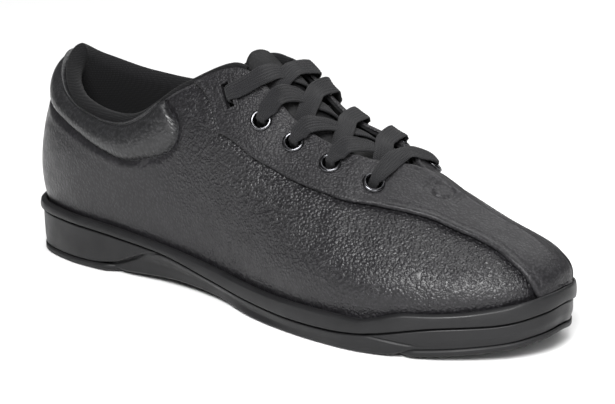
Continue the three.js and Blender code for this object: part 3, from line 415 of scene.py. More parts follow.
def rubber(name, colour, roughness):
    """Moulded rubber: a fine spark-eroded texture and slight scuffing in the sheen."""
    s = Shader(name, colour, roughness, specular=RUBBER_GLOSS)
    s.bump(s.math("MULTIPLY_ADD", s.cells(0.5), 0.5, s.noise(0.35, 3.0)), 0.05)
    s.tint(s.spread(s.noise(14, 4.0), 0.35, 0.7), colour, 1, 1.25)
    s.wear(9, 4.0, roughness, 0.06, 0.08)
    return s.material


def weave(name, colour, pitch_mm, depth_mm, roughness=0.9):
    """Knitted or woven cloth: crossing rows of threads with a soft fuzz, and painted shade between the
    threads with a painted highlight on them.
    """
    s = Shader(name, colour, roughness, specular=0.12)
    rows = []
    for direction in ("X", "Y", "Z"):
        wave = s.node("ShaderNodeTexWave", {"wave_type": "BANDS", "bands_direction": direction},
                      Vector=s.place, Scale=0.314 / (pitch_mm * MM), Distortion=1.2, Detail=1.0)
        rows.append(wave.outputs["Fac"])
    threads = s.math("ADD", s.math("MULTIPLY", rows[0], rows[2]), s.math("MULTIPLY", rows[1], rows[2]))
    s.bump(s.math("MULTIPLY_ADD", s.noise(0.4, 3.0), 0.6, threads), depth_mm)
    # Painted shade and highlight: the colour is darker in the gaps between threads and lighter on the
    # raised threads.
    s.tint(s.spread(threads, 0, 1.4), colour, 0.7, 1.3)
    s.shader.inputs["Sheen Weight"].default_value = 0.03
    s.shader.inputs["Sheen Roughness"].default_value = 0.5
    return s.material


def lace_cloth(name, colour):
    """Flat braid: tiny chevron threads on the ribs that the mesh already has, with painted shade between
    the threads and a painted highlight on them.
    """
    s = Shader(name, colour, 0.82, specular=0.18)
    across, along = s.attribute("across"), s.attribute("along")
    column = s.math("FRACT", s.math("MULTIPLY", across, 6.0))
    lean = s.math("ABSOLUTE", s.math("SUBTRACT", column, 0.5))
    phase = s.math("MULTIPLY_ADD", lean, 1.6, s.math("MULTIPLY", along, 1 / 0.9))
    threads = s.math("SINE", s.math("MULTIPLY", phase, 2 * math.pi))
    s.bump(s.math("MULTIPLY_ADD", s.noise(0.3, 3.0), 0.5, threads), 0.12)
    # Painted shade and highlight: the colour is darker between the chevron threads and lighter on their
    # crests.
    s.tint(s.spread(threads, -1, 1), colour, 0.75, 1.3)
    s.shader.inputs["Sheen Weight"].default_value = 0.04
    return s.material


def metal(name, colour, roughness):
    s = Shader(name, colour, roughness, metallic=1.0)
    s.bump(s.noise(0.6, 2.0), 0.02)
    s.wear(1.5, 3.0, roughness, 0.05, 0.08)
    return s.material


def plain_stuff(name, colour, roughness, grain_mm, depth_mm, metallic=0.0):
    """Inner boards, foam and steel: a fine grain of their own and mottled colour."""
    s = Shader(name, colour, roughness, metallic)
    s.bump(s.cells(grain_mm), depth_mm)
    s.tint(s.noise(grain_mm * 6, 3.0), colour, 0.8, 1.2)
    return s.material


THREAD = weave("thread", (0.02, 0.02, 0.022), 0.5, 0.05, 0.6)
LOOKS = {  # by material slot
    "grain_leather": leather("grain_leather", (0.0125, 0.012, 0.0135), 1.4, 0.42, 0.34, 0.33, True),
    "smooth_leather": leather("smooth_leather", (0.0165, 0.016, 0.0175), 1.1, 0.26, 0.4, 0.2, True),
    "collar_leather": leather("collar_leather", (0.015, 0.015, 0.016), 1.5, 0.12, 0.33, 0.42),
    "lining": weave("lining_cloth", (0.006, 0.006, 0.0065), 0.9, 0.1),
    "tongue_textile": leather("tongue_cover", (0.006, 0.006, 0.0065), 1.2, 0.1, 0.65, 0.2),
    "lace_textile": lace_cloth("lace_cloth", (0.008, 0.008, 0.009)),
    "midsole_rubber": rubber("rand_rubber", (0.008, 0.008, 0.0085), 0.42),
    "sole_rubber": rubber("tread_rubber", (0.007, 0.007, 0.0075), 0.55),
    "eyelet_metal": metal("eyelet_metal", (0.075, 0.075, 0.08), 0.2),
    "aglet_plastic": plain_stuff("aglet_plastic", (0.015, 0.015, 0.015), 0.25, 1.0, 0.01),
    "foam": plain_stuff("foam", (0.06, 0.06, 0.06), 0.95, 0.8, 0.2),
    "board": plain_stuff("board", (0.3, 0.25, 0.19), 0.85, 0.6, 0.05),
    "shank_steel": plain_stuff("spring_steel", (0.45, 0.45, 0.47), 0.35, 2.0, 0.01, metallic=1.0),
}


# ---- meshes ----
def grid_faces(rows, cols, start=0, wrap=False):
    """Quads of a grid of points numbered row by row; wrap joins each row's last point to its first."""
    i = np.arange(rows - 1)[:, None]
    j = np.arange(cols if wrap else cols - 1)[None, :]
    k = (j + 1) % cols
    quads = np.stack([i * cols + j, (i + 1) * cols + j, (i + 1) * cols + k, i * cols + k], -1)
    return quads.reshape(-1, 4) + start


def weld(points, faces, attributes):
    """Merges corners that lie within a hundredth of a millimetre and drops what collapses."""
    keys = np.round(points / 0.01).astype(np.int64)
    _, first, inverse = np.unique(keys, axis=0, return_index=True, return_inverse=True)
    inverse = inverse.reshape(-1)
    kept = []
    for face in faces:
        corners = []
        for v in inverse[list(face)]:
            if v not in corners:
                corners.append(int(v))
        if len(corners) > 2:
            kept.append(corners)
    return points[first], kept, {k: v[first] for k, v in attributes.items()}


def make_piece(name, points, faces, slot, body="shoe", replaces=(), attributes=None, look=None):
    """A visible piece on one body, with its slot's look unless another is given."""
    points, faces, attributes = weld(np.asarray(points, float).reshape(-1, 3), faces, attributes or {})
    mesh = bpy.data.meshes.new(name)
    mesh.from_pydata(to_frame(points).tolist(), [], faces)
    for key, values in attributes.items():
        mesh.attributes.new(key, "FLOAT", "POINT").data.foreach_set("value", values.astype(np.float32))
    solid = bmesh.new()
    solid.from_mesh(mesh)
    bmesh.ops.recalc_face_normals(solid, faces=solid.faces)
    solid.to_mesh(mesh)
    solid.free()
    mesh.materials.append(look or LOOKS[slot])
    mesh.polygons.foreach_set("use_smooth", [True] * len(mesh.polygons))
    piece = link(name, mesh)
    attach(piece, body)
    if replaces:
        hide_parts(*replaces)
    return piece


def slab(outer, inner, closed_edges):
    """Points and faces of a slab between two equal grids; closed_edges gives each walled edge and
    the point its wall starts at."""
    rows, cols = outer.shape[:2]
    count = rows * cols
    points = np.vstack([outer.reshape(-1, 3), inner.reshape(-1, 3)])
    faces = [grid_faces(rows, cols), grid_faces(rows, cols, count)[:, ::-1]]
    index = np.arange(count).reshape(rows, cols)
    edges = {"i0": index[0], "i1": index[-1], "j0": index[:, 0], "j1": index[:, -1]}
    for key, start in closed_edges.items():
        line = edges[key][start:]
        faces.append(np.stack([line[:-1], line[1:], line[1:] + count, line[:-1] + count], -1))
    return points, np.vstack(faces)


def joined(parts):
    """Several (points, faces, attributes) as one."""
    points, faces, attributes, start = [], [], {}, 0
    for part_points, part_faces, part_attributes in parts:
        points.append(part_points)
        faces.append(part_faces + start)
        start += len(part_points)
        for key, values in part_attributes.items():
            attributes.setdefault(key, []).append(values)
    return np.vstack(points), np.vstack(faces), {k: np.concatenate(v) for k, v in attributes.items()}


ALL_EDGES = {"i0": 0, "i1": 0, "j0": 0, "j1": 0}
HEEL_OPEN = {"i0": 0, "j0": 0, "j1": 0}


def two_halves(make):
    """Points and faces of a sheet that make(side) gives as an outer and an inner grid for each
    half. The halves share the last row of points, at the heel back."""
    halves = [make(side) for side in SIDES.values()]
    for lateral, medial in zip(*halves):
        medial[-1] = lateral[-1]
    points, faces, _ = joined([(*slab(*half, HEEL_OPEN), {}) for half in halves])
    return points, faces


EDGE_STEPS = np.array([0, 0.08, 0.25, 0.5, 0.8, 1.15, 1.6, 2.2, 3.0])  # mm from a cut edge


def row_places(span_mm, count, stretch):
    """Shares 0..1 of a row's run, close together near both edges. One row for each span."""
    edge = EDGE_STEPS[None, :] * stretch[:, None] / span_mm[:, None]
    edge = edge * np.minimum(1, 0.45 / edge[:, -1:])
    middle = np.linspace(0, 1, count + 2)[1:-1]
    inside = edge[:, -1:] + (1 - 2 * edge[:, -1:]) * middle[None, :]
    return np.concatenate([edge, inside, 1 - edge[:, ::-1]], 1)


def edge_slant(line, u, side):
    """1 / cosine of the angle between an edge h = line(u) and the stations' direction."""
    step = 1e-3
    rise = (line(u + step) - line(u - step)) / (2 * step) * height(side, u)
    ahead, behind = (last_point(side, v, line(u)) for v in (u + step, u - step))
    run = np.linalg.norm(ahead - behind, axis=-1) / (2 * step)
    return np.clip(np.sqrt(1 + (rise / np.maximum(run, 1)) ** 2), 1, 6)


def seam_slant(side, u):
    return edge_slant(lambda v: seam(side, v), u, side)


def rounded(distance, radius):
    """Share of the full thickness at a distance from an edge rounded with that radius."""
    return np.sqrt(np.clip(1 - (1 - np.clip(distance / radius, 0, 1)) ** 2, 0, 1))


# ---- leather panels ----
ROLL = 0.75  # radius of a panel's cut edge
OVERLAY_FOOT, OVERLAY_UNDER, OVERLAY_THICK = 0.45, 0.4, 1.25
OVERLAY_STATION, HEEL_STATION = 24, 21  # mm per unit of u at the strip's rear end and at the heel
QUARTER_THICK = 1.25
STITCH_IN = 2.5  # distance of a seam's stitches from the edge
FAR = 99  # mm, beyond the reach of any edge's shaping
EMBLEM = {"u": 3.55, "h": 0.93, "length": 15, "width": 8, "slim": 1.7, "line": 0.9, "depth": 0.62}


def ripples(points, size_mm, depth_mm, seed):
    """Soft, uneven swelling of the leather: a few crossing waves with wandering phase."""
    rng = np.random.default_rng(seed)
    total = np.zeros(points.shape[:-1])
    for _ in range(7):
        direction = unit(rng.normal(size=3))
        wavelength = size_mm * rng.uniform(0.7, 1.6)
        bend = np.sin(points @ unit(rng.normal(size=3)) * 2 * math.pi / (2.3 * size_mm) + rng.uniform(0, 6))
        total += np.sin(points @ direction * 2 * math.pi / wavelength + 1.3 * bend + rng.uniform(0, 6))
    return depth_mm * total / 4


def emblem(side, u, h):
    """A plain oval pressed into the strip with a bar on each side of it: its depth."""
    if side != LATERAL:
        return np.zeros_like(u)
    here = last_point(LATERAL, EMBLEM["u"], EMBLEM["h"])
    along = unit(last_point(LATERAL, EMBLEM["u"] - 0.05, EMBLEM["h"]) - here)
    across = unit(last_point(LATERAL, EMBLEM["u"], EMBLEM["h"] - 0.03) - here)
    d = last_point(side, u, h) - here
    x, y = d @ along, d @ across
    length, width = EMBLEM["length"], EMBLEM["width"]
    ring = np.abs(np.hypot(x / (length / 2) * EMBLEM["slim"], y / (width / 2)) - 1) * width / 2
    bars = np.maximum(np.abs(np.abs(x) - length / 2), np.abs(y) - width / 2.6)
    return EMBLEM["depth"] * (1 - smooth(np.minimum(ring, bars), EMBLEM["line"] * 0.4, EMBLEM["line"]))


def overlay_grids():
    u = np.concatenate([np.linspace(TOE, THROAT, 130), np.linspace(4.012, 4.5, 22),
                        np.linspace(4.53, OVERLAY_END, 110)])
    grids = {}
    for side in (LATERAL, MEDIAL):
        low = np.where(u < SEAM[side][0][0], -TUCK, seam(side, u))
        slant = np.where(low > 0, seam_slant(side, u), 1)
        span = (1 - low) * height(side, u)
        share = row_places(span, 34, slant)
        h = low[:, None] + (1 - low)[:, None] * share
        from_seam = share * (span / slant)[:, None]
        from_stay = (1 - share) * span[:, None] + np.where(u <= THROAT, FAR, 0)[:, None]
        from_back = ((OVERLAY_END - u) * OVERLAY_STATION)[:, None]
        base = last_point(side, u[:, None], h)
        thick = OVERLAY_THICK * np.minimum(rounded(from_seam, ROLL), rounded(from_stay, ROLL))
        thick = np.minimum(thick, OVERLAY_THICK * rounded(from_back, ROLL))
        for distance in (from_seam, from_stay):
            thick -= 0.42 * hill(distance - STITCH_IN, 0.42)
            thick += 0.16 * hill(distance - 1.4, 0.7)
        strip = smooth(from_seam, 3, 7) * smooth(from_stay, 3, 7)
        thick += strip * ripples(base, 26, 0.16, 5) - emblem(side, u[:, None], h)
        grids[side] = [surface(side, u[:, None], h, off) for off in (OVERLAY_FOOT + thick, OVERLAY_UNDER)]
    for lateral, medial in zip(grids[LATERAL], grids[MEDIAL]):
        ridge = u <= THROAT
        lateral[ridge, -1] = medial[ridge, -1] = (lateral[ridge, -1] + medial[ridge, -1]) / 2
        lateral[0] = medial[0] = (lateral[0] + medial[0]) / 2
    return u, grids


def stand(side, u, h):
    """A place on the last with its axes: up the profile, along the foot and outwards."""
    z = last_normal(side, u, h)
    up = last_point(side, u, h + 0.01) - last_point(side, u, h - 0.01)
    x = unit(up - z * (up @ z))
    return last_point(side, u, h), x, np.cross(z, x), z


PUNCH_DEPTH = {"round": 8, "slot": 10}


def cutter(places):
    """One mesh of the tools that punch the eyelet holes and the lace slots."""
    tool = bmesh.new()
    for side, u, h, shape in places:
        origin, *axes = stand(side, u, h)
        place = Matrix(axes).transposed().to_4x4()
        place.translation = Vector(to_frame(origin))
        if shape == "round":
            bmesh.ops.create_cone(tool, cap_ends=True, segments=40, radius1=EYELET_HOLE * MM,
                                  radius2=EYELET_HOLE * MM, depth=PUNCH_DEPTH["round"] * MM, matrix=place)
        else:
            size = Matrix.Diagonal((SLOT["length"] * MM, SLOT["width"] * MM, PUNCH_DEPTH["slot"] * MM, 1))
            lean = Matrix.Rotation(-side * math.radians(SLOT["lean"]), 4, "Z")
            bmesh.ops.create_cube(tool, size=1, matrix=place @ lean @ size)
    mesh = bpy.data.meshes.new("cutter")
    tool.to_mesh(mesh)
    tool.free()
    return link("cutter", mesh)


def punch(piece, places):
    tool = cutter(places)
    modifier = piece.modifiers.new("holes", "BOOLEAN")
    modifier.operation, modifier.solver, modifier.object = "DIFFERENCE", "MANIFOLD", tool
    punched = bpy.data.meshes.new_from_object(piece.evaluated_get(bpy.context.evaluated_depsgraph_get()))
    piece.modifiers.clear()
    piece.data = punched
    bpy.data.objects.remove(tool)


HOLES = [(side, u, h, "round") for side in SIDES.values() for u, h in EYELETS]
SLOTS = {side: (side, SLOT["u"], SLOT["h"], "slot") for side in SIDES.values()}


def centre_overlay():
    u, grids = overlay_grids()
    first_open = int(np.sum(u <= THROAT)) - 1
    parts = []
    for outer, inner in grids.values():
        points, faces = slab(outer, inner, {"j0": 0, "j1": first_open, "i1": 0})
        strength = np.repeat(0.35 + 0.75 * smooth(u, 3.9, 4.8), outer.shape[1])
        parts.append((points, faces, {"grain": np.tile(strength, 2)}))
    points, faces, attributes = joined(parts)
    piece = make_piece("centre_overlay_leather", points, faces, "smooth_leather",
                       replaces=["centre_overlay"], attributes=attributes)
    punch(piece, [*HOLES, *SLOTS.values()])


def collar_low(u):
    """Lower stitched edge of the collar padding behind its front end."""
    return pchip(COLLAR_EDGE[6:], u)


def quarter_top(side, u):
    under = np.minimum(seam(side, u) + 5.5 / height(side, u), 0.955)
    front = np.where(u > 6.6, under + (1 - under) * smooth(u, 6.8, 7.35), under)
    behind = collar_low(u) + 3 / height(side, u)
    return front + (behind - front) * smooth(u, 8.36, 8.6)


def distance_to(side, u, h, line, reach):
    """Distance in mm from places on the last to a curve through (u, h) places, up to reach."""
    line = np.asarray(line, float)
    t = np.linspace(0, len(line) - 1, 260)
    dense = curve(line, t)
    nodes = last_point(side, dense[:, 0], np.minimum(dense[:, 1], 1))
    points = last_point(side, u, h)
    flat = points.reshape(-1, 3)
    best = np.full(len(flat), float(reach))
    for k in range(0, len(flat), 4000):
        gap = np.linalg.norm(flat[k:k + 4000, None, :] - nodes[None], axis=-1)
        best[k:k + 4000] = np.minimum(best[k:k + 4000], gap.min(1))
    return best.reshape(points.shape[:-1])


def grain_strength(u, h):
    """The quarters' grain is strongest over the instep and fades to the heel and the sole."""
    return 0.2 + 0.85 * (1 - smooth(u, 6.6, 8.8)) * (0.35 + 0.65 * smooth(h, 0.1, 0.45))


def quarter(name, side):
    start = SEAM[side][0][0] - 0.05
    u = np.concatenate([np.linspace(start, 8.3, 230), np.linspace(8.33, 11.98, 130)])
    low, top = np.full_like(u, -TUCK), quarter_top(side, np.maximum(u, SEAM[side][0][0]))
    top = np.maximum(top, low + 0.004)
    span = (top - low) * height(side, u)
    share = row_places(span, 58, np.ones_like(u))
    h = low[:, None] + (top - low)[:, None] * share
    uu = np.broadcast_to(u[:, None], h.shape)
    base = last_point(side, uu, h)
    seam_h = seam(side, u)
    below_seam = (seam_h[:, None] - h) * (height(side, u) / seam_slant(side, u))[:, None]
    off = ripples(base, 34, 0.28, 11) * smooth(h, 0.04, 0.3)
    off = off - 0.85 * np.exp(-np.clip(below_seam, 0, FAR) / 1.5)
    to_collar = distance_to(side, uu, h, COLLAR_EDGE, 14)
    off = off - 0.9 * hill(to_collar, 1.5) + 0.18 * hill(to_collar - 3.6, 1.6)
    off = off - 0.5 * np.exp(-np.clip(h - 0.012, 0, 1) * height(side, u)[:, None] / 1.4)
    off = off - 0.8 * hill((HEEL - uu) * HEEL_STATION, 1)
    edge = np.clip((top[:, None] - h) * height(side, u)[:, None], 0, 9)
    off = off * smooth(edge, 0, 1.5) - 0.7 * (1 - rounded(edge, 0.6)) + 0.45 * hill(edge - 0.7, 0.5)
    points, faces = slab(surface(side, uu, h, off), surface(side, uu, h, -QUARTER_THICK), ALL_EDGES)
    strength = np.concatenate([grain_strength(uu, h).ravel()] * 2)
    piece = make_piece(f"{name}_quarter_leather", points, faces, "grain_leather",
                       replaces=[f"{name}_quarter"], attributes={"grain": strength})
    punch(piece, [SLOTS[side]])


# ---- stitches ----
STITCH = {"length": 2.3, "pitch": 3.0, "radius": 0.28}
STITCH_FAT = np.array([0.25, 0.8, 1, 1, 0.8, 0.25])  # share of the radius along a stitch
STITCH_SINK = np.array([-0.4, 0, 0.08, 0.08, 0, -0.4])
# Offsets of the stitches on the strip, round the collar and down the heel back.
STRIP_STITCHES, COLLAR_STITCHES, BACK_STITCHES = 1.22, -0.55, 0.06


def stitch_line(side, places, off):
    """Stitches along (u, h) places on the last: short lozenges sunk at both ends."""
    places = np.asarray(places, float)
    line = surface(side, places[:, 0], places[:, 1], off)
    run = np.concatenate([[0], np.cumsum(np.linalg.norm(np.diff(line, axis=0), axis=1))])
    parts = []
    ring = np.linspace(0, 2 * math.pi, 7)[:-1]
    for middle in np.arange(STITCH["pitch"], run[-1] - STITCH["pitch"], STITCH["pitch"]):
        at = middle + np.linspace(-0.5, 0.5, 6) * STITCH["length"]
        centre = np.stack([np.interp(at, run, line[:, k]) for k in range(3)], -1)
        pu, ph = np.interp(middle, run, places[:, 0]), np.interp(middle, run, places[:, 1])
        n = last_normal(side, pu, ph)
        wide = unit(np.cross(centre[-1] - centre[0], n))
        fat = STITCH_FAT[:, None, None] * STITCH["radius"]
        sink = (STITCH_SINK[:, None] * n)[:, None, :]
        around = np.cos(ring)[:, None] * wide * 1.15 + np.sin(ring)[:, None] * n
        points = (centre[:, None, :] + sink + around[None] * fat).reshape(-1, 3)
        ends = np.array([[0, 1, 2, 3], [0, 3, 4, 5]])
        caps = np.vstack([ends, ends[:, ::-1] + 30])
        parts.append((points, np.vstack([grid_faces(6, 6, wrap=True), caps]), {}))
    return joined(parts)


def inset(side, line_u, line_h, distance):
    """Places moved up the profile from an edge by a true distance."""
    slant = edge_slant(lambda v: np.interp(v, line_u, line_h), line_u, side)
    return np.stack([line_u, line_h + distance * slant / height(side, line_u)], -1)


def all_stitches():
    parts = []
    for side in SIDES.values():
        u = np.linspace(SEAM[side][0][0] + 0.12, 7.3, 500)
        stay = np.linspace(4.35, 7.5, 300)
        collar = np.linspace(0.6, len(COLLAR_EDGE) - 1.05, 500)
        lines = [
            (inset(side, u, seam(side, u), STITCH_IN), STRIP_STITCHES),
            (np.stack([stay, 1 - STITCH_IN / height(side, stay)], -1), STRIP_STITCHES),
            (curve(COLLAR_EDGE, collar), COLLAR_STITCHES),
            (np.stack([np.full(60, HEEL - 0.1), np.linspace(0.05, 0.7, 60)], -1), BACK_STITCHES),
        ]
        parts += [stitch_line(side, places, off) for places, off in lines]
    points, faces, _ = joined(parts)
    make_piece("seam_stitches", points, faces, "lace_textile", look=THREAD)


# ---- collar ----
# (share of the way from the stitched edge to the crest, offset) of the outer face, which ends in a
# thin folded rim: padded, and plain where the padding runs out at the front.
COLLAR_OUTER = [
    (0, -0.75), (0.02, -0.2), (0.06, 0.9), (0.14, 2.1), (0.3, 3.1), (0.5, 3.3), (0.68, 2.8), (0.82, 1.9),
    (0.9, 1.1), (0.93, 1), (0.95, 1.55), (0.975, 1.8), (0.995, 1.5), (1, 0.7), (1, -0.2), (0.985, -1.2),
]
COLLAR_PLAIN = [
    (0, -0.75), (0.02, -0.5), (0.06, -0.1), (0.14, 0.15), (0.3, 0.2), (0.5, 0.2), (0.68, 0.15),
    (0.82, 0.1), (0.88, 0), (0.92, 0.15), (0.95, 0.6), (0.975, 0.7), (1, 0.4), (1, -0.3), (0.985, -1.2),
]
# (inward, upward) in mm from the crest of the lining's roll: padded round the heel, and a plain
# folded binding in front of the padding.
ROLL_PADDED = [
    (2.1, -3.6), (1.8, -1.6), (1.6, -0.3), (1.7, 1), (2.3, 2.1), (3.5, 2.7), (4.9, 2.3), (6.2, 1.1),
    (7, -0.9), (7.3, -3.4), (7, -6.2), (6.4, -9), (5.8, -11.5), (5.4, -13.5),
]
ROLL_PLAIN = [
    (1.9, -3), (1.5, -1.6), (1.35, -0.4), (1.4, 0.5), (1.8, 1.15), (2.5, 1.4), (3.2, 1.15), (3.7, 0.5),
    (3.9, -0.6), (4, -1.8), (4, -3.2), (4.1, -4.8), (4.2, -6.4), (4.3, -8),
]
ROLL_START = 6.98
ROLL_FOOT = -4.95  # offset of the roll's lower edge, just clear of the lining
ROLL_THICK = 0.9
PUCKERS = 52  # gathers along the collar's stitched edge, on each half


def collar_rows(side, low_u, low_h, crest_u, section):
    """Points of a collar face: section (share, off) rows between an edge and the crest."""
    share, off = section[..., 0], section[..., 1]
    u = low_u[:, None] + (crest_u - low_u)[:, None] * np.clip(share, 0, 1)
    h = low_h[:, None] + (1 - low_h)[:, None] * share
    return surface(side, u, h, off)


def collar_places(count):
    edge = curve(COLLAR_EDGE, np.linspace(0, len(COLLAR_EDGE) - 1, count))
    low_u, low_h = edge[:, 0], np.minimum(edge[:, 1], 1)
    along = np.linspace(0, 1, count)
    front = 5.5 / (len(COLLAR_EDGE) - 1)  # share of the edge that runs round the padding's front
    crest_u = np.where(along < front, 8.32 + 0.3 * along / front,
                       low_u + 0.4 * (1 - smooth(low_u, 8.15, 9.6)))
    crest_u = np.clip(np.maximum.accumulate(crest_u), 8.32, HEEL)
    return low_u, low_h, crest_u


def section_between(plain, padded, amount, count):
    t = np.linspace(0, len(plain) - 1, count)
    a, b = curve(plain, t), curve(padded, t)
    return a[None] + (b - a)[None] * amount[:, None, None]


def collar_leather():
    """The collar's padded outer face of soft leather, up to its folded rim."""
    count, rows = 300, 64

    def half(side):
        low_u, low_h, crest_u = collar_places(count)
        edge = last_point(side, low_u, low_h)
        width = np.linalg.norm(edge - last_point(side, crest_u, 1), axis=-1)
        amount = 1 - np.exp(-((width / 9) ** 2))
        section = section_between(COLLAR_PLAIN, COLLAR_OUTER, amount, rows)
        outer = collar_rows(side, low_u, low_h, crest_u, section)
        pucker = 0.2 * np.sin(np.linspace(0, 1, count) * 2 * math.pi * PUCKERS)[:, None]
        near = hill(np.linspace(0, 14, rows)[None, :] - 2, 1.2)
        inside = np.sin(np.linspace(0, math.pi, rows))[None, :]
        n = last_normal(side, low_u, np.minimum(low_h, 0.99))
        wave = pucker * near * amount[:, None] + ripples(outer, 22, 0.25, 3) * inside
        outer = outer + n[:, None, :] * wave[..., None]
        under = section - np.array([0, 1.0]) * (1 - 0.4 * amount[:, None, None])
        return outer, collar_rows(side, low_u, low_h, crest_u, under)

    points, faces = two_halves(half)
    piece = make_piece("collar_leather", points, faces, "collar_leather",
                       replaces=["collar_cover", "collar_foam"])


def lining_roll():
    """The lining's own padded roll inside the rim, thinning to a binding along the eyestays."""
    def half(side):
        u = np.concatenate([np.linspace(ROLL_START, 8.3, 90), np.linspace(8.32, HEEL, 230)])
        roll = section_between(ROLL_PLAIN, ROLL_PADDED, smooth(u, 8.1, 9.3), 72)
        roll = roll * (0.55 + 0.45 * smooth(u, ROLL_START, ROLL_START + 0.3))[:, None, None]
        crest = last_point(side, u, 1)
        inward = -last_normal(side, u, 0.97) * np.array([1, 1, 0])
        inward = unit(inward)[:, None, :]
        settle = smooth(np.linspace(0, 1, roll.shape[1]), 0.6, 1)[None, :, None]
        foot_h = np.minimum(lining_top(side, u), 1 - 8 / height(side, u)) - 0.05 - 0.3 * smooth(u, 8.2, 9.2)
        loops = []
        for thick in (0, ROLL_THICK):
            foot = surface(side, u, foot_h, ROLL_FOOT + thick)[:, None]
            slope = np.gradient(roll, axis=1)
            across = unit(np.stack([slope[..., 1], -slope[..., 0]], -1))
            line = roll - across * thick
            loop = crest[:, None] + inward * line[..., :1] + np.array([0, 0, 1.0]) * line[..., 1:]
            loops.append(loop + (foot - loop) * settle)
        return loops

    points, faces = two_halves(half)
    piece = make_piece("collar_lining_roll", points, faces, "lining")


# ---- linings and insole ----
LINING_FACE, LINING_THICK = -4.7, 0.7


def lining_top(side, u):
    under = np.minimum(seam(side, u), seam(LATERAL, u)) - 0.02
    front = np.where(u > 6.6, under + (1 - under) * smooth(u, 7.2, 7.7), under)
    return front + (collar_low(u) + 0.04 - front) * smooth(u, 8.3, 8.7)


def quarter_lining():
    def half(side):
        u = np.linspace(THROAT + 0.02, HEEL, 220)
        top = lining_top(side, u)
        h = -TUCK + (top + TUCK)[:, None] * np.linspace(0, 1, 46)[None, :]
        uu = np.broadcast_to(u[:, None], h.shape)
        off = LINING_FACE + ripples(last_point(side, uu, h), 24, 0.15, 8)
        return surface(side, uu, h, off), surface(side, uu, h, off + LINING_THICK)

    points, faces = two_halves(half)
    make_piece("quarter_lining_cloth", points, faces, "lining", replaces=["quarter_lining"])


def footprint(profile, count=260):
    """Rings of (offset, z) profiles once round the foot outline, as points of shape ring x profile:
    from toe to heel on the lateral half and back on the medial one."""
    points = []
    lateral_u = np.linspace(TOE, HEEL, count)
    for side, u in ((LATERAL, lateral_u), (MEDIAL, lateral_u[-2:0:-1])):
        section = profile(u)
        base = outline(side, u)[:, None, :] + plan_normal(side, u)[:, None, :2] * section[..., :1]
        points.append(np.concatenate([base, section[..., 1:]], -1))
    return np.concatenate(points)


def ladder(ring_count, column, columns, flip):
    """Faces across a footprint ring at one column, between its two halves."""
    half = ring_count // 2
    faces = []
    for i in range(half):
        a, b = i * columns + column, (i + 1) * columns + column
        c = ((ring_count - i - 1) % ring_count) * columns + column
        d = ((ring_count - i) % ring_count) * columns + column
        faces.append((a, b, c, d) if flip else (d, c, b, a))
    return faces


def ring_solid(points):
    rings, columns = points.shape[:2]
    index = np.arange(rings * columns).reshape(rings, columns)
    following = np.roll(index, -1, axis=0)
    walls = np.stack([index[:, :-1], following[:, :-1], following[:, 1:], index[:, 1:]], -1).reshape(-1, 4)
    faces = [tuple(f) for f in walls.tolist()]
    faces += ladder(rings, 0, columns, True) + ladder(rings, columns - 1, columns, False)
    return points.reshape(-1, 3), faces


def insole():
    def profile(u):
        low = both(FEATHER_Z, u)[..., 0] - 2.8 + GAP
        toe = 1 - smooth(u, 0, 1.4)
        edge = -5.4 - 4.4 * toe
        top = low + 4 - 1.8 * toe
        bend = np.linspace(0, math.pi / 2, 8)
        offs = edge[:, None] - 1.4 + 1.4 * np.sin(bend)[None]
        zs = top[:, None] - 1.4 + 1.4 * np.cos(bend)[None]
        section = np.stack([offs, zs], -1)
        foot = np.stack([edge, low], -1)[:, None]
        middle = np.stack([edge - 8, top], -1)[:, None]
        return np.concatenate([middle, section, foot], 1)

    points, faces = ring_solid(footprint(profile))
    make_piece("insole_cloth", points, faces, "lining", replaces=["insole"])


# ---- tongue ----
TONGUE_TOP, TONGUE_EDGE, TONGUE_THICK, TONGUE_RISE = -7, 0.83, 5.6, 3
# Distance past the last station and the share of the width kept there, which rounds the tip.
TONGUE_TIP = [(3, 1), (5.5, 0.98), (7.5, 0.92), (8.5, 0.8)]
EDGE_POINTS, GAP_POINTS = 12, 13  # points of a row under each eyestay and across the gap
TONGUE_MIDDLE = EDGE_POINTS + GAP_POINTS // 2


def tongue_rise(u):
    return TONGUE_RISE * smooth(u, 4.6, 6)


def tongue_row(u, off):
    edge = np.linspace(TONGUE_EDGE, 1, EDGE_POINTS)
    lateral = surface(LATERAL, u, edge, off)
    across = np.linspace(-1, 1, GAP_POINTS + 2)[1:-1]
    rise = tongue_rise(u) * np.clip(2 - 2 * np.abs(across), 0, 1)
    gap = arch(np.full(GAP_POINTS, u), across, off + rise)
    medial = surface(MEDIAL, u, edge[::-1], off)
    return np.vstack([lateral, gap, medial])


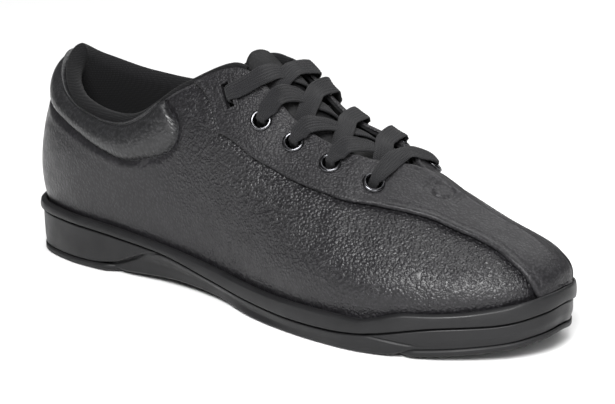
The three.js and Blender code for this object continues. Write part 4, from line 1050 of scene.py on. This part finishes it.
def tongue():
    """A padded tongue with rounded edges: rows across it, carried on past its base to a rounded tip."""
    u = np.linspace(4.2, 6.9, 70)
    sheets = []
    for off in (TONGUE_TOP, TONGUE_TOP - TONGUE_THICK):
        rows = [tongue_row(v, off) for v in u]
        last, before = rows[-1], rows[-8]
        middle = last[TONGUE_MIDDLE]
        run = unit(middle - before[TONGUE_MIDDLE])
        reach = np.array([0.0, *[r for r, _ in TONGUE_TIP]])
        wide = np.array([1.0, *[w for _, w in TONGUE_TIP]])
        for step in np.linspace(0, 1, 34)[1:]:
            r = reach[-1] * math.sin(step * math.pi / 2) ** 0.9
            w = np.interp(r, reach, wide)
            moved = last.copy()
            moved[:, 0] = last[:, 0] + run[0] * r
            moved[:, 1] = middle[1] + (last[:, 1] - middle[1]) * w
            moved[:, 2] = middle[2] + (last[:, 2] - middle[2]) * (0.6 + 0.4 * w) + run[2] * r
            rows.append(moved)
        sheets.append(np.array(rows))
    top, bottom = sheets
    middle = (top + bottom) / 2
    count_i, count_j = top.shape[:2]
    side_gap = np.minimum(np.arange(count_j), count_j - 1 - np.arange(count_j))[None, :] * 1.4
    end_gap = (count_i - 1 - np.arange(count_i))[:, None] * 0.8
    full = np.minimum(rounded(side_gap, 5), rounded(end_gap, 4.5))[..., None]
    full = np.maximum(full, 0.12)
    puff = 0.5 + 0.5 * np.sin(np.linspace(0, math.pi, count_j))[None, :, None]
    points, faces = slab(middle + (top - middle) * full * (0.9 + 0.1 * puff),
                         middle + (bottom - middle) * full, ALL_EDGES)
    piece = make_piece("tongue_padded", points, faces, "tongue_textile", body="tongue",
                       replaces=["tongue_cover", "tongue_foam", "tongue_lining"])


# ---- eyelets and slot tabs ----
EYELET_FOOT, EYELET_TOP, EYELET_CROWN = -2.3, 1.9, 0.95  # offsets, and the height of the rolled rim
# Outer side of the ring under its rim, (radius, offset), down to the clenched foot.
EYELET_BACK = [(EYELET_FLANGE - 0.15, 1.62), (3.35, 1.6), (3.3, -1.7), (3.9, -1.8), (3.9, EYELET_FOOT)]


def eyelet(name, side, row):
    u, h = EYELETS[row - 1]
    origin, x, y, z = stand(side, u, h)
    bend = np.linspace(0, math.pi, 15)
    rim = (EYELET_FLANGE - EYELET_BORE) / 2
    crown = [(EYELET_BORE + rim - rim * math.cos(a), EYELET_TOP + EYELET_CROWN * math.sin(a)) for a in bend]
    profile = np.array([(EYELET_BORE, EYELET_FOOT), *crown, *EYELET_BACK])
    turn = np.linspace(0, 2 * math.pi, 49)[:-1]
    ring = np.cos(turn)[:, None] * x + np.sin(turn)[:, None] * y
    points = origin + profile[None, :, :1] * ring[:, None, :] + profile[None, :, 1:] * z
    count, columns = len(turn), len(profile)
    index = np.arange(count * columns).reshape(count, columns)
    following = np.roll(index, -1, axis=0)
    quads = np.stack([index, following, np.roll(following, -1, 1), np.roll(index, -1, 1)], -1)
    make_piece(f"{name}_eyelet_ring_{row}", points, quads.reshape(-1, 4), "eyelet_metal",
               replaces=[f"{name}_eyelet_{row}"])


def slot_tab(name, side):
    """The raised patch round a slot: a rounded rectangle lined up with it."""
    along, across = (SLOT_PATCH[k] * np.linspace(-1, 1, n) for k, n in (("long", 60), ("wide", 30)))
    a, b = np.meshgrid(along, across, indexing="ij")
    lean = math.radians(SLOT["lean"])
    back = last_point(side, SLOT["u"] + 0.1, SLOT["h"]) - last_point(side, SLOT["u"] - 0.1, SLOT["h"])
    u = SLOT["u"] + (a * math.sin(lean) - b * math.cos(lean)) * 0.2 / np.linalg.norm(back)
    h = SLOT["h"] + (a * math.cos(lean) + b * math.sin(lean)) / height(side, SLOT["u"])
    corner = SLOT_PATCH["corner"]
    ends, sides = SLOT_PATCH["long"] - np.abs(a), SLOT_PATCH["wide"] - np.abs(b)
    near = corner - np.hypot(np.maximum(corner - ends, 0), np.maximum(corner - sides, 0))
    near = np.maximum(np.where((ends < corner) & (sides < corner), near, np.minimum(ends, sides)), 0)
    thick = SLOT_PATCH["thick"] * rounded(near, 0.6) - 0.3 * hill(near - 1.5, 0.35)
    points, faces = slab(surface(side, u, h, SLOT_PATCH["foot"] + thick),
                         surface(side, u, h, SLOT_PATCH["under"]), ALL_EDGES)
    if side == MEDIAL:
        faces = [tuple(reversed(f)) for f in faces]
    piece = make_piece(f"{name}_slot_patch", points, faces, "smooth_leather",
                       replaces=[f"{name}_slot_tab"], attributes={"grain": np.full(len(points), 0.8)})
    punch(piece, [SLOTS[side]])


# ---- lace ----
LACE_OVER, LACE_UNDER, LACE_REST, LACE_BAR = 4.2, -3.8, -2.7, 2.3
HOLE_WIDTH, HOLE_THICK, SLOT_FIT = 4.3, 2, 6.8
TO_EYELET, TO_SLOT = (0.9, 0.96, 0.45), (0.42, 0.74, 0.3)
# Share of a strand's way to the far edge, place across the gap, lift of an upper and a lower one.
CROSSING = [(0.3, -0.5, 0.5, 0.2), (0.57, 0, 2.3, 0.5), (0.82, 0.42, 2.9, 2.1)]
# The end past the slot, from it: stations, share of the height and offset.
LACE_TAIL = [(-0.02, -0.05, -4.6), (-0.04, -0.09, -6), (-0.08, -0.13, -7.2)]
UNDER_SECTION, TAIL_SECTION = (6.4, 1.4), (3, 1.6)


def row_place(row):
    return (SLOT["u"], SLOT["h"]) if row == 0 else EYELETS[row - 1]


def lace_point(p, wide, w=LACE_WIDTH, t=LACE_THICK):
    return [p, unit(wide), w, t]


def through_hole(row, side, heading):
    u, h = row_place(row)
    n = last_normal(side, u, h)
    up = unit(last_point(side, u, h + 0.02) - last_point(side, u, h - 0.02))
    slotted = row == 0
    lean = math.radians(SLOT["lean"])
    along = up * math.cos(lean) - side * np.cross(n, up) * math.sin(lean)
    wide_in = along if slotted else np.cross(n, heading)
    wide_out = along if slotted else np.cross(n, up)
    w, t = (SLOT_FIT, LACE_THICK) if slotted else (HOLE_WIDTH, HOLE_THICK)

    def at(off):
        return surface(side, u, h, off)

    return [
        lace_point(at(LACE_OVER) - 2.8 * heading, wide_in, (w + LACE_WIDTH) / 2, (t + LACE_THICK) / 2),
        lace_point(at(3.4) - 0.4 * heading, wide_in, w, t),
        lace_point(at(1.4), wide_in, w, t),
        lace_point(at(-1.8), wide_out, w, t),
        lace_point(at(-3.4) + up * (-0.8 if slotted else 0.8), wide_out, w, t),
    ]


def crossing(row, side):
    u, h = row_place(row)
    next_u, next_h = row_place(row - 1)
    other = -side

    def mix(k):
        return u + (next_u - u) * k

    edge_at, near_at, near_share = TO_SLOT if row == 1 else TO_EYELET
    start = surface(side, mix(0.1), 1, LACE_UNDER)
    end = surface(other, mix(edge_at), 1, LACE_OVER + 0.3)
    heading = unit(end - start)
    middle = []
    for part, v, over_lift, under_lift in CROSSING:
        lift = over_lift if side == LATERAL else under_lift
        k = part * edge_at
        p = arch(mix(k), v * other, LACE_REST + lift)
        up = arch(mix(k), v * other, LACE_REST + lift + 1) - p
        middle.append(lace_point(p, np.cross(up, heading)))
    start_n = last_normal(side, mix(0.1), 0.99)
    end_n = last_normal(other, mix(edge_at), 0.99)
    to_hole = unit(surface(other, next_u, next_h, LACE_OVER) - end)
    near = surface(other, mix(near_at), next_h + near_share * (1 - next_h), LACE_OVER)
    hidden = surface(side, mix(0.04), h + 0.5 * (1 - h), LACE_UNDER)
    start_wide = np.cross(start_n, heading)
    points = [lace_point(hidden, start_wide, *UNDER_SECTION), lace_point(start, start_wide), *middle]
    points += [lace_point(end, np.cross(end_n, heading)), lace_point(near, np.cross(end_n, to_hole))]
    return to_hole, points


def lace_half(side):
    u4, h4 = row_place(4)
    inward = unit(surface(side, u4, h4, LACE_OVER) - surface(side, u4, 1, LACE_OVER))
    points = [lace_point(surface(side, u4, 1, LACE_BAR + 0.4), np.cross(last_normal(side, u4, 1), inward))]
    points += through_hole(4, side, inward)
    for row in (4, 3, 2, 1):
        heading, across = crossing(row, side)
        side = -side
        points += across + through_hole(row - 1, side, heading)
    u0, h0 = row_place(0)
    wide = np.cross(last_normal(side, u0, h0), last_point(side, u0, h0) - last_point(side, u0, h0 - 0.1))
    for du, dh, off in LACE_TAIL:
        points.append(lace_point(surface(side, u0 + du, h0 + dh, off), wide, *TAIL_SECTION))
    return points


def lace_path():
    u4, _ = row_place(4)
    wide = np.cross(arch(u4, -1, 0) - arch(u4, 1, 0), (0.3, 0, 1))
    bar = lace_point(arch(u4, 0, LACE_BAR), wide)
    points = lace_half(MEDIAL)[::-1] + [bar] + lace_half(LATERAL)
    for before, this in zip(points, points[1:]):
        if before[1] @ this[1] < 0:
            this[1] = -this[1]
    return points


def centripetal(points, per_span):
    """Centripetal Catmull-Rom curve through points: sampled places and their span positions."""
    padded = np.vstack([2 * points[0] - points[1], points, 2 * points[-1] - points[-2]])
    made, at = [], []
    for k in range(len(points) - 1):
        p = padded[k:k + 4]
        gaps = np.maximum(np.linalg.norm(np.diff(p, axis=0), axis=1) ** 0.5, 1e-4)
        d1 = (p[1] - p[0]) / gaps[0] - (p[2] - p[0]) / (gaps[0] + gaps[1]) + (p[2] - p[1]) / gaps[1]
        d2 = (p[2] - p[1]) / gaps[1] - (p[3] - p[1]) / (gaps[1] + gaps[2]) + (p[3] - p[2]) / gaps[2]
        d1, d2 = d1 * gaps[1], d2 * gaps[1]
        last = k == len(points) - 2
        for t in np.linspace(0, 1, per_span + 1)[: None if last else -1]:
            made.append((2 * t**3 - 3 * t**2 + 1) * p[1] + (t**3 - 2 * t**2 + t) * d1
                        + (3 * t**2 - 2 * t**3) * p[2] + (t**3 - t**2) * d2)
            at.append(k + t)
    return np.array(made), np.array(at)


LACE_RIBS, RIB_HEIGHT, LACE_CUP = 7, 0.075, 0.14
HALF_LOOP = 43  # points across one face of the lace


def there_and_back(face, sign=1):
    """Values across one face of the lace, then back across the other, without repeating the ends."""
    return np.concatenate([face, sign * face[-2:0:-1]])


def lace():
    """One flat braided lace with rounded edges and lengthwise ribs."""
    path = lace_path()
    centre, at = centripetal(np.array([q[0] for q in path]), 9)
    keys = np.arange(len(path))
    eased = np.floor(at) + smooth(at - np.floor(at), 0, 1)
    wide = np.stack([np.interp(eased, keys, [q[1][k] for q in path]) for k in range(3)], -1)
    run = unit(np.gradient(centre, axis=0))
    wide = unit(wide - run * np.sum(wide * run, -1, keepdims=True))
    thick = np.cross(run, wide)
    w = np.interp(eased, keys, [q[2] for q in path])
    t = np.interp(eased, keys, [q[3] for q in path])
    across = np.linspace(-0.5, 0.5, HALF_LOOP)
    rib = RIB_HEIGHT * np.cos(across * 2 * math.pi * LACE_RIBS)
    body = np.sqrt(np.clip(1 - (np.abs(across) * 2) ** 6, 0, 1))
    along = np.concatenate([[0], np.cumsum(np.linalg.norm(np.diff(centre, axis=0), axis=1))])
    a, ribs, fat = there_and_back(across), there_and_back(rib), there_and_back(body, -1)
    offset = fat * (t[:, None] * 0.5 + ribs[None, :])
    cup = LACE_CUP * (np.abs(a) * 2) ** 2 * np.minimum(w / LACE_WIDTH, 1)[:, None]
    points = (centre[:, None] + wide[:, None] * (a[None, :, None] * w[:, None, None])
              + thick[:, None] * (offset - cup)[..., None])
    rows, columns = points.shape[:2]
    ends = [[k, k + 1, columns - k - 1, columns - k] for k in range(1, HALF_LOOP - 1)]
    caps = np.array([[0, 1, columns - 1, columns - 1], *ends])
    faces = np.vstack([grid_faces(rows, columns, wrap=True), caps, caps[:, ::-1] + (rows - 1) * columns])
    attributes = {"across": np.tile(a, rows), "along": np.repeat(along, columns)}
    make_piece("lace_braid", points, faces, "lace_textile", replaces=["lace"],
               attributes=attributes)


# ---- sole ----
# How far the side wall stands out from the feather line under the groove, half-way and at its
# foot, where no panel covers it.
WAIST_WALL = [
    (2, 2, 1.2), (2, 2, 1.2), (2, 2, 1.2), (2, 1.8, 1), (2, 1.4, 0.7), (1.9, 1.3, 1.4),
    (1.9, 0.9, 2), (1.9, -1.4, -2), (1.9, -1.8, -2.6), (1.7, -1.4, -1.4), (1.6, -1, -1),
    (1.6, -1, -1), (1.6, -1, -1),
]
HEEL_PANEL = (1.9, 1.5, 0.9)
# Front edge of the raised heel panel and the line that falls behind the toe band, (u, z).
PANEL_EDGE = [
    (7.95, 16.6), (8.15, 15.8), (8.4, 13.8), (8.7, 10), (8.95, 6.9), (9.2, 4.7), (9.6, 3), (12, 2.8),
]
FALLING_LINE = [(3.2, 6.1), (3.45, 6.9), (3.7, 7.7), (3.97, 8.5)]
CUT = {"depth": 0.8, "half": 0.45}


def ground(u):
    return np.maximum(both(GROUND_Z, u)[..., 0], 0)


def in_waist(u):
    """1 where the wall runs down past the outsole's edge, under the arch."""
    return smooth(u, 3.2, 3.6) * (1 - smooth(u, 8.9, 9.3))


def wall_foot(u):
    """The wall laps a little over the outsole's top edge, and ends just above the ground in the waist."""
    return ground(u) + (OUTSOLE_THICK + 0.25) * (1 - in_waist(u)) + 0.5 * in_waist(u)


def wall_offset(u, share, z):
    """Offset of the side wall at a share of the way down from the groove."""
    keys = np.moveaxis(both(WAIST_WALL, u), -1, 0)
    under, middle, low = (k[:, None] for k in keys)
    waist = under + (middle - under) * smooth(share, 0, 0.55) + (low - middle) * smooth(share, 0.45, 1)
    high, mid, foot = HEEL_PANEL
    panel = high + (mid - high) * share + (foot - mid) * share**3
    edge, falling = (pchip(line, u)[:, None] for line in (PANEL_EDGE, FALLING_LINE))
    raised = smooth(z, edge - 0.5, edge + 0.6) * (u > PANEL_EDGE[0][0])[:, None]
    by_panel = smooth(u, 7.95, 8.1) * (1 - smooth(u, 9.2, 9.5))
    by_toe = smooth(u, 3.15, 3.3) * (1 - smooth(u, 3.92, 4.05))
    cut = hill(z - edge + 0.6, CUT["half"]) * by_panel[:, None]
    cut = cut + hill(z - falling, CUT["half"]) * by_toe[:, None]
    return waist + (panel - waist) * raised - CUT["depth"] * cut


BAND_TOP, GROOVE_LIP, GROOVE_DEPTH = 1.1, 0.8, 1.3
# Section of the groove under the band: share of its depth, and height from its middle.
GROOVE_SECTION = [(0.45, 0.45), (0.85, 0.2), (1, 0), (0.9, -0.2), (0.4, -0.45)]


def midsole():
    def profile(u):
        rand_low = both(FEATHER_Z, u)[..., 0] + 0.9
        top = np.where(u < RAND_TOP[-1][0], pchip(RAND_TOP, u), rand_low)
        top = top + (rand_low - top) * smooth(u, 4.6, 5.2)
        groove = both(GROOVE_Z, u)[..., 0]
        inner = 0.5 + 1.5 * (1 - smooth(u, 1.5, 2))
        bed = both(FEATHER_Z, u)[..., 0] - CUP_DEPTH
        parts = []

        def add(off, z):
            off, z = (v[:, None] if np.ndim(v) == 1 else v for v in (off, z))
            parts.append(np.stack(np.broadcast_arrays(off, z), -1))

        add(inner, bed)
        add(inner, top - 0.5)
        arc = np.linspace(0, 1, 9)[None, :]
        add(inner[:, None] + (RAND_OUT - inner)[:, None] * (1 - np.cos(arc * math.pi / 2)) ** 0.8,
            top[:, None] - 0.5 + 0.5 * np.sin(arc * math.pi) ** 0.7 - 0.6 * arc**2)
        band = (top - BAND_TOP - (groove + 0.75))[:, None]
        down = np.linspace(0, 1, 16)[None, 1:]
        add(RAND_OUT + 0.35 * np.sin(down * math.pi * 0.85), top[:, None] - BAND_TOP - band * down)
        under = wall_offset(u, 0, (groove - GROOVE_LIP)[:, None])[:, 0]
        deep = np.minimum(RAND_OUT, under) - GROOVE_DEPTH
        for share, z in GROOVE_SECTION:
            face = np.where(z > 0, RAND_OUT + 0.1, under)
            add(face + (deep - face) * share, groove + z)
        share = np.linspace(0, 1, 40)[None, :]
        foot = wall_foot(u)
        z = (groove - GROOVE_LIP)[:, None] - (groove - GROOVE_LIP - foot)[:, None] * share
        off = wall_offset(u, share, z) - 0.5 * (1 - rounded((1 - share) * (groove - foot)[:, None], 0.8))
        add(off, z)
        add(off[:, -1] - 4, foot)
        return np.concatenate(parts, 1)

    points, faces = ring_solid(footprint(profile, 420))
    make_piece("midsole_rubber", points, faces, "midsole_rubber", replaces=["midsole"])


TREAD = {"pitch": 5.0, "width": 1.5, "depth": 1.4, "margin": 6, "sway": 1.6, "sway_length": 14}


def tread_depth(x, y, inside):
    """Depth of the moulded tread: wavy cross grooves under the ball and the heel, plain waist."""
    wave = x + TREAD["sway"] * np.sin(y * 2 * math.pi / TREAD["sway_length"])
    line = np.abs((wave / TREAD["pitch"]) % 1 - 0.5) * TREAD["pitch"]
    groove = 1 - smooth(line, TREAD["width"] * 0.3, TREAD["width"] * 0.62)
    placed = smooth(x, 150, 154) * (1 - smooth(x, 244, 248)) + smooth(x, 16, 19) * (1 - smooth(x, 64, 67))
    return TREAD["depth"] * groove * placed * smooth(inside, TREAD["margin"] - 1, TREAD["margin"])


# Section of the outsole's edge: offset, and share of the way from its top to the ground.
OUTSOLE_EDGE = [(0, 0), (0.02, 0.35), (0, 0.7), (-0.25, 0.86), (-0.7, 0.96), (-1.3, 1)]


def outsole():
    count, columns = 620, 90
    u = np.linspace(TOE, HEEL, count)
    low = ground(u)
    inset_by = -0.1 - 5 * in_waist(u)
    edge = both(SOLE_REACH, u)[..., 0] + 0.5 + inset_by
    panel = HEEL_PANEL[2] + 0.45
    edge = edge + (panel - edge) * smooth(u, 9.1, 9.4)
    top = low + OUTSOLE_THICK + 0.1
    halves = {}
    for side in SIDES.values():
        n, xy = plan_normal(side, u)[:, :2], outline(side, u)
        rim = [np.concatenate([xy + n * (edge + off)[:, None], (top + (low - top) * down)[:, None]], -1)
               for off, down in OUTSOLE_EDGE]
        halves[side] = np.stack(rim, 1)
    across = np.linspace(0, 1, columns)[None, :, None]
    a, b = halves[LATERAL][:, -1], halves[MEDIAL][:, -1]
    bottom = a[:, None] + (b - a)[:, None] * across
    from_rim = np.minimum(across, 1 - across)[..., 0] * np.linalg.norm(b - a, axis=-1)[:, None]
    bottom[..., 2] += tread_depth(bottom[..., 0], bottom[..., 1], from_rim)
    bottom[..., 2] += 0.9 * smooth(from_rim, 0, 10) * in_waist(u)[:, None]
    lid_a, lid_b = halves[LATERAL][:, 0], halves[MEDIAL][:, 0]
    lid = lid_a[:, None] + (lid_b - lid_a)[:, None] * np.linspace(0, 1, 5)[None, :, None]
    loop = np.concatenate([bottom, halves[MEDIAL][:, -2::-1], lid[:, 3:0:-1], halves[LATERAL][:, :-1]], 1)
    faces = grid_faces(count, loop.shape[1], wrap=True)
    make_piece("outsole_rubber", loop, faces, "sole_rubber", replaces=["outsole"])


# ---- assembly ----
def dress_cad_nodes():
    slots = {row["node"]: row["material_slot"] for row in frame["record"]["subparts"]}
    for name, node in NODES.items():
        node.data.materials.clear()
        node.data.materials.append(LOOKS[slots[name]])


dress_cad_nodes()
centre_overlay()
for word, half in SIDES.items():
    quarter(word, half)
    slot_tab(word, half)
    for number in range(1, len(EYELETS) + 1):
        eyelet(word, half, number)
collar_leather()
lining_roll()
quarter_lining()
insole()
tongue()
lace()
midsole()
outsole()
all_stitches()


# ---- studio ----
WORLD_LIGHT, FLOOR_REACH, FLOOR_TONE = 0.14, 6, 0.76
LIGHTS = [  # name, place, aim, size and power
    ("key", (0.6, -1.0, 0.95), (0.06, 0, 0.05), (0.7, 0.5), 46),
    ("top", (0.1, 1.2, 1.9), (0, 0.2, 0), (2.2, 2.2), 46),
    ("front", (1.1, -0.5, 0.5), (0.08, 0, 0.05), (0.35, 0.6), 5),
]


def soft_light(name, place, aim, size, power):
    light = bpy.data.lights.new(name, "AREA")
    light.shape, light.size, light.size_y, light.energy = "RECTANGLE", size[0], size[1], power
    lamp = link(name, light)
    lamp.location = place
    lamp.rotation_euler = (Vector(aim) - Vector(place)).to_track_quat("-Z", "Y").to_euler()


def studio():
    world = bpy.data.worlds.new("studio")
    bpy.context.scene.world = world
    world.use_nodes = True
    background = world.node_tree.nodes["Background"]
    background.inputs["Color"].default_value = (1, 1, 1, 1)
    background.inputs["Strength"].default_value = WORLD_LIGHT
    bpy.context.scene.view_settings.view_transform = "Standard"
    plane = bpy.data.meshes.new("floor")
    corners = [(x * FLOOR_REACH, y * FLOOR_REACH, 0) for x, y in ((-1, -1), (1, -1), (1, 1), (-1, 1))]
    plane.from_pydata(corners, [], [(0, 1, 2, 3)])
    floor = link("floor", plane)
    plane.materials.append(Shader("floor_paper", (FLOOR_TONE,) * 3, 0.9, specular=0.2).material)
    for light in LIGHTS:
        soft_light(*light)


studio()
